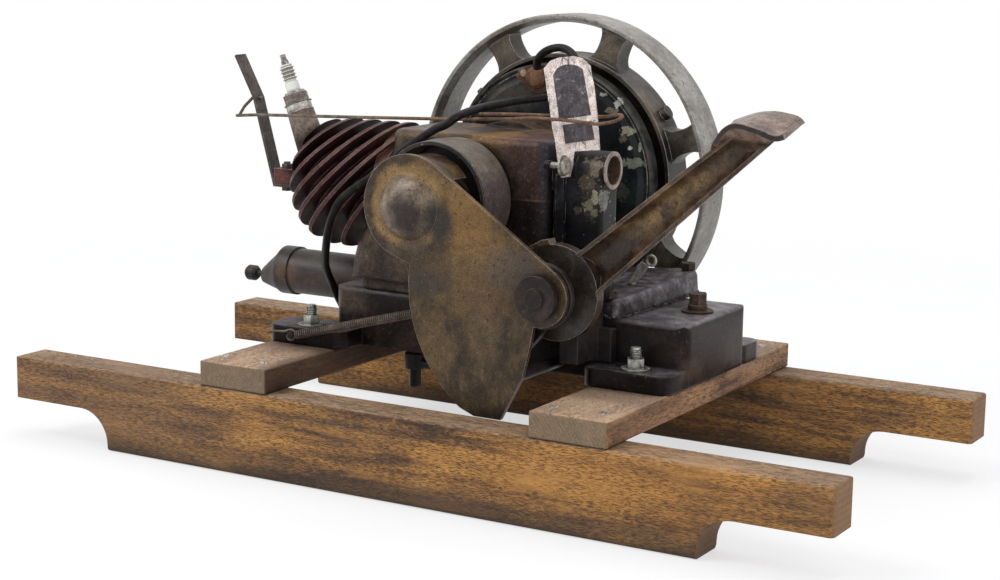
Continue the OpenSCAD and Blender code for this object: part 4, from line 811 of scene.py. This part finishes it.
FINISHES = {make.__name__: make for make in (
    runner_oak, crossbar_oak, tank_iron, zinc_bolt, dark_bolt, rusty_plug, dark_iron, rusty_case, maroon_iron,
    plated_shell, porcelain, dark_steel, rusty_wire, shaft_steel, pulley_steel, wheel_aluminium, black_enamel,
    brown_cap, duct_iron, black_carburettor, knob_metal, paper_tag, pin_steel, guard_rust, pedal_brown,
    spring_steel, lead_rubber)}


def finish_nodes():
    """Gives every CAD node the finish of its slot."""
    made = {}
    for part in frame["record"]["subparts"]:
        slot = part["material_slot"]
        if slot not in made:
            made[slot] = FINISHES[slot](slot).material
        mesh = NODES[part["node"]].data
        mesh.materials.clear()
        mesh.materials.append(made[slot])
    made["tag_panel"] = tag_panel_paint("tag_panel").material
    made["gasket"] = gasket_paper("gasket").material
    return made


# ---------------- helpers for pieces

X_AXIS, Y_AXIS = Vector((1, 0, 0)), Vector((0, 1, 0))


def smooth(points, steps):
    """Catmull-Rom points through a route."""
    made = []
    for i in range(len(points) - 1):
        a, b, c, d = (Vector(points[max(0, min(len(points) - 1, j))]) for j in (i - 1, i, i + 1, i + 2))
        for s in range(steps):
            t = s / steps
            made.append(b + t * (c - a) / 2 + t * t * (2 * a - 5 * b + 4 * c - d) / 2
                        + t ** 3 * (3 * b - a - 3 * c + d) / 2)
    return made + [Vector(points[-1])]


def helix(start, rise, side, up, radius, turns, steps):
    """Points of a coil that climbs by rise a turn."""
    made = []
    for i in range(turns * steps + 1):
        angle = 2 * math.pi * i / steps
        made.append(start + rise * (i / steps) + radius * (math.cos(angle) * side + math.sin(angle) * up))
    return made


def ring(bm, centre, side, up, radius, sides, turn=0.0):
    """Corners of a flat ring round a centre."""
    angles = [turn + 2 * math.pi * k / sides for k in range(sides)]
    return [bm.verts.new([c + radius * (math.cos(a) * s + math.sin(a) * u) for c, s, u in zip(centre, side, up)])
            for a in angles]


def skin(bm, rows, closed=True):
    """Faces between each row of corners and the next."""
    for a, b in zip(rows, rows[1:]):
        for k in range(len(a) if closed else len(a) - 1):
            n = (k + 1) % len(a)
            bm.faces.new((a[k], a[n], b[n], b[k]))


def close_ends(bm, rows):
    bm.faces.new(list(reversed(rows[0])))
    bm.faces.new(rows[-1])


def mesh_of(name, bm, soft=False):
    """The finished mesh, its faces turned outwards; soft shades its four-sided faces smooth."""
    bmesh.ops.recalc_face_normals(bm, faces=bm.faces)
    mesh = bpy.data.meshes.new(name)
    bm.to_mesh(mesh)
    bm.free()
    for poly in mesh.polygons:
        poly.use_smooth = soft and len(poly.vertices) == 4
    return mesh


def tube_mesh(name, path, radius, sides=16):
    """Round tube along a path, with rings that don't twist and flat ends."""
    bm = bmesh.new()
    rings = []
    side = (path[1] - path[0]).normalized().orthogonal().normalized()
    for i, p in enumerate(path):
        way = (path[min(i + 1, len(path) - 1)] - path[max(i - 1, 0)]).normalized()
        side = (side - way * side.dot(way)).normalized()
        rings.append(ring(bm, p, side, way.cross(side), radius, sides))
    skin(bm, rings)
    close_ends(bm, rings)
    return mesh_of(name, bm, True)


def lathe(name, profile, base, axis, sides):
    """Round piece turned from (radius, height) points about an axis through base."""
    side = axis.orthogonal().normalized()
    bm = bmesh.new()
    rings = [ring(bm, base + height * axis, side, axis.cross(side), radius, sides) for radius, height in profile]
    skin(bm, rings)
    close_ends(bm, rings)
    return mesh_of(name, bm)


def link(mesh, slot, body="engine", finish=None):
    """Makes a piece of a mesh, in the finish of its slot unless another is given."""
    piece = add_object(mesh.name, mesh)
    mesh.materials.clear()
    mesh.materials.append(FINISH[finish or slot])
    if body:
        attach(piece, body)
    return piece


# ---------------- the lead and the spring

LEAD_RADIUS = 0.0035
LEAD_ROUTE = [[a * MM for a in p] for p in (
    (-9, 90, 326.5), (-7.5, 86, 332.5), (0, 82.5, 340), (10, 81, 344.5), (21, 80, 345.5), (31, 78, 341.5),
    (38, 74, 333), (39, 70, 321), (33, 68, 311), (23, 67, 306), (13.5, 66, 304), (5, 48, 302.5),
    (2, 28, 302), (-2, 0, 300.3), (-2, -25, 299), (-4, -48, 295.5), (-12, -57, 288), (-21, -58, 284),
    (-37, -56, 275), (-57, -57, 261), (-75, -57, 245), (-83, -59, 240), (-101, -61, 228),
    (-114, -61, 217), (-122, -59, 205.5), (-131, -53, 191), (-139, -45, 176), (-152, -28, 156.5),
    (-158, -16, 145), (-161, -5, 134), (-160, 0, 124.3), (-159, 8.5, 111.5), (-160, 20, 101),
    (-160, 27, 98.4), (-160, 34, 97.8))]


def make_lead():
    path = smooth(LEAD_ROUTE, 8)
    lead = link(tube_mesh("lead", path, LEAD_RADIUS), "lead_rubber")
    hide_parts("ignition_lead")


def make_spring():
    """The return spring's coil, from its stud on the tank to the pedal."""
    a, b = Vector((-144.6, -81, 101.5)) * MM, Vector((66, -105.5, 159.5)) * MM
    wire, radius, turns = 0.00065, 0.0033, 92
    way = (b - a).normalized()
    side = way.orthogonal().normalized()
    path = helix(a, (b - a) / turns, side, way.cross(side), radius, turns, 12)
    spring = link(tube_mesh("return_coil", path, wire, 6), "spring_steel", None)
    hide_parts("return_spring")
    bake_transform(spring)


HOOK_ROUTE = [(-176, -81, 100.2), (-166, -82, 102.5), (-156, -83, 103.6), (-150, -83.5, 105.6),
              (-145.5, -83.5, 105.2), (-144.2, -83.5, 101.8), (-147, -83.5, 97.6), (-151.5, -83.2, 97.4),
              (-153, -82.8, 100.5)]


def make_spring_hook():
    """The wire hook at the return spring's left end, round its stud, and a bent tail."""
    path = smooth([dim(p, MM) for p in HOOK_ROUTE], 6)
    link(tube_mesh("spring_hook", path, 0.0011, 10), "spring_steel")


# ---------------- small pieces


def make_threads():
    """Threads round the foot studs, above their nuts."""
    radius, pitch, length, wire = 0.0041, 0.0014, 0.0078, 0.0006
    for place in ("front_left", "front_right", "back_left", "back_right"):
        low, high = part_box(f"bolt_{place}")
        start = Vector(((low[0] + high[0]) / 2, (low[1] + high[1]) / 2, high[2] - 0.0003 - length))
        path = helix(start, Vector((0, 0, pitch)), X_AXIS, Y_AXIS, radius, int(length / pitch), 14)
        link(tube_mesh(f"thread_{place}", path, wire, 6), "zinc_bolt" if "front" in place else "dark_bolt")


SCREW_PLACES = [(-169.7, -147.1), (-126.9, -150.3), (145.7, -150.3), (187.2, -148.6)]
SCREW_RADIUS, SLOT_HALF, SLOT_DEPTH = 0.0038, 0.0005, 0.0003


def make_wood_screws():
    """Slotted screws, two at each end of each crossbar."""
    for i, (x, y) in enumerate(SCREW_PLACES + [(x, -y) for x, y in SCREW_PLACES]):
        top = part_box("crossbar_left" if x < 0 else "crossbar_right")[1][2]
        turn = 0.7 * i
        across = (math.cos(turn), math.sin(turn), 0)
        middle = (x * MM, y * MM, top)
        bm = bmesh.new()
        rings = [ring(bm, (x * MM, y * MM, top + height), X_AXIS, Y_AXIS, SCREW_RADIUS * share, 24, turn)
                 for share, height in ((1, -0.0006), (1, 0.0001), (0.86, 0.0005), (0.5, 0.0007))]
        skin(bm, rings)
        bm.faces.new(rings[-1])
        # the slot: cuts along its middle and its sides, then the middle is pushed down
        for shift in (0, -SLOT_HALF, SLOT_HALF):
            bmesh.ops.bisect_plane(bm, geom=[*bm.verts, *bm.edges, *bm.faces],
                                   plane_co=[m + shift * a for m, a in zip(middle, across)], plane_no=across)
        for v in bm.verts:
            if abs((v.co - Vector(middle)).dot(across)) < 0.0002 and v.co.z > top:
                v.co.z = top - SLOT_DEPTH
        link(mesh_of(f"wood_screw_{i + 1}", bm), "zinc_bolt")


TAG_PANELS = [[(84.2, 333.0), (87.5, 338.4), (92, 341.2), (97.1, 342.2), (103, 342.2), (108, 340.8),
               (110.8, 338.9), (119.0, 303.6), (90.6, 298.2)],
              [(93.7, 294.1), (119.4, 299.0), (122.7, 284.5), (96.6, 279.4)]]


def make_tag_panels():
    """The tag's two dark panels, left blank, as thin raised enamel."""
    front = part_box("tag_plate")[0][1]
    for i, outline in enumerate(TAG_PANELS):
        cx = sum(p[0] for p in outline) / len(outline)
        cz = sum(p[1] for p in outline) / len(outline)
        bm = bmesh.new()
        rings = [[bm.verts.new(((x + (cx - x) * inset) * MM, front + y, (z + (cz - z) * inset) * MM))
                  for x, z in outline]
                 for inset, y in ((0, 0.0001), (0, -0.00016), (0.03, -0.00022))]
        skin(bm, rings)
        close_ends(bm, rings)
        link(mesh_of(f"tag_panel_{i + 1}", bm), "paper_tag", finish="tag_panel")


SHELF = [(60, -45), (139, -45), (143, -40), (146.5, -20), (148, 16), (148, 76), (146, 102), (143, 107),
         (126, 107), (104, 97), (60, 84)]
SHREDS = 210


def make_gasket():
    """The ragged gasket squeezed out under the crankcase's shelf, with torn shreds on the tank's top."""
    rng = random.Random(7)
    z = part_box("crankcase")[0][2]
    points = []
    for (x0, y0), (x1, y1) in zip(SHELF, SHELF[1:]):
        steps = max(1, int(math.hypot(x1 - x0, y1 - y0) / 1.6))
        for i in range(steps):
            t = i / steps
            out = Vector((y1 - y0, x0 - x1)).normalized() * rng.uniform(-0.2, 1.5)
            points.append((x0 + (x1 - x0) * t + out.x, y0 + (y1 - y0) * t + out.y, out.normalized()))
    bm = bmesh.new()
    rows = []
    for x, y, out in points:
        inside = Vector((x, y)) - out * 3 if out.length else Vector((x - 3, y))
        rows.append([bm.verts.new((a * MM, b * MM, z + h)) for a, b, h in (
            (inside.x, inside.y, 0.0001), (x, y, 0.0001), (x, y, 0.0009), (inside.x, inside.y, 0.001))])
    skin(bm, rows)
    close_ends(bm, rows)
    for _ in range(SHREDS):
        x, y, out = rng.choice(points[24:128])
        way = Matrix.Rotation(rng.uniform(-1.3, 1.3), 2) @ out
        length, wide, high = rng.uniform(2.0, 7.0), rng.uniform(0.3, 0.75), rng.uniform(0.4, 5.0)
        side = Vector((-way.y, way.x)) * wide
        base = Vector((x, y)) - out * 0.8
        corners = [(*(base + side), 0.0), (*(base - side), 0.0), (*base, 0.8), (*(base + way * length), high)]
        v = [bm.verts.new((a * MM, b * MM, z + 0.0001 + c * MM)) for a, b, c in corners]
        for face in ((0, 1, 2), (0, 3, 1), (1, 3, 2), (2, 3, 0)):
            bm.faces.new([v[k] for k in face])
    link(mesh_of("gasket", bm), "dark_iron", finish="gasket")


PAD_UNDER = [(254.2, 296.6), (257.2, 301.6), (261.4, 305.2), (266.0, 308.2), (271.2, 309.6), (278.0, 309.0),
             (289.0, 306.2), (296.0, 304.0), (301.5, 302.6)]


def make_pad_web():
    """The curl under the foot pad's front edge, where the arm's trough flares out into it."""
    along = Vector((math.cos(ARM_ANGLE), 0, math.sin(ARM_ANGLE)))
    up = Vector((-math.sin(ARM_ANGLE), 0, math.cos(ARM_ANGLE)))
    pivot = Vector((PIVOT[0], -0.108, PIVOT[1]))
    arch = smooth([(x * MM, -0.1172, z * MM) for x, z in PAD_UNDER], 3)
    bm = bmesh.new()
    rows = []
    for i, top in enumerate(arch):
        u = i / (len(arch) - 1)
        turn = math.pi * u
        reach = 0.168 + 0.034 * u
        radius = (0.018 - (reach - 0.024) / 0.204 * 0.0064) - 0.0026
        foot = pivot + along * reach + up * (-0.0058 + radius * math.cos(turn))
        foot.y += radius * math.sin(turn)
        row = []
        for k in range(9):
            v = k / 8
            ease = v * v * (3 - 2 * v) * 0.5 + v * 0.5
            point = top.lerp(foot, v)
            point.y = top.y + (foot.y - top.y) * ease + 0.003 * math.sin(math.pi * v)
            row.append(bm.verts.new(point))
        rows.append(row)
    skin(bm, rows, closed=False)
    web = link(mesh_of("pad_web", bm, True), "pedal_brown", "kick_pedal")
    solid = web.modifiers.new("thickness", "SOLIDIFY")
    solid.thickness, solid.offset = 0.0016, 0


def make_plug_rings():
    """The crimped rings below and above the plug's collar."""
    axis = Vector((-PLUG_TILT[0], 0, PLUG_TILT[1])).normalized()
    seat = Vector((-0.1983, 0, 0.2833))
    along = seat.z * PLUG_TILT[1] - seat.x * PLUG_TILT[0]
    for name, at, radius, height in (("plug_ring_lower", 0.3365, 0.0124, 0.0012),
                                     ("plug_ring_upper", 0.3442, 0.0127, 0.0011)):
        profile = [(radius - 0.0016, 0), (radius - 0.0003, 0.0001), (radius, height * 0.4),
                   (radius, height * 0.6), (radius - 0.0003, height - 0.0001), (radius - 0.0016, height)]
        link(lathe(name, profile, seat + axis * (at - along), axis, 32), "plated_shell")


make_camera()
make_floor()
make_light()
FINISH = finish_nodes()
make_lead()
make_spring()
make_threads()
make_wood_screws()
make_tag_panels()
make_spring_hook()
make_gasket()
make_pad_web()
make_plug_rings()

bpy.context.scene.view_settings.view_transform = "Standard"
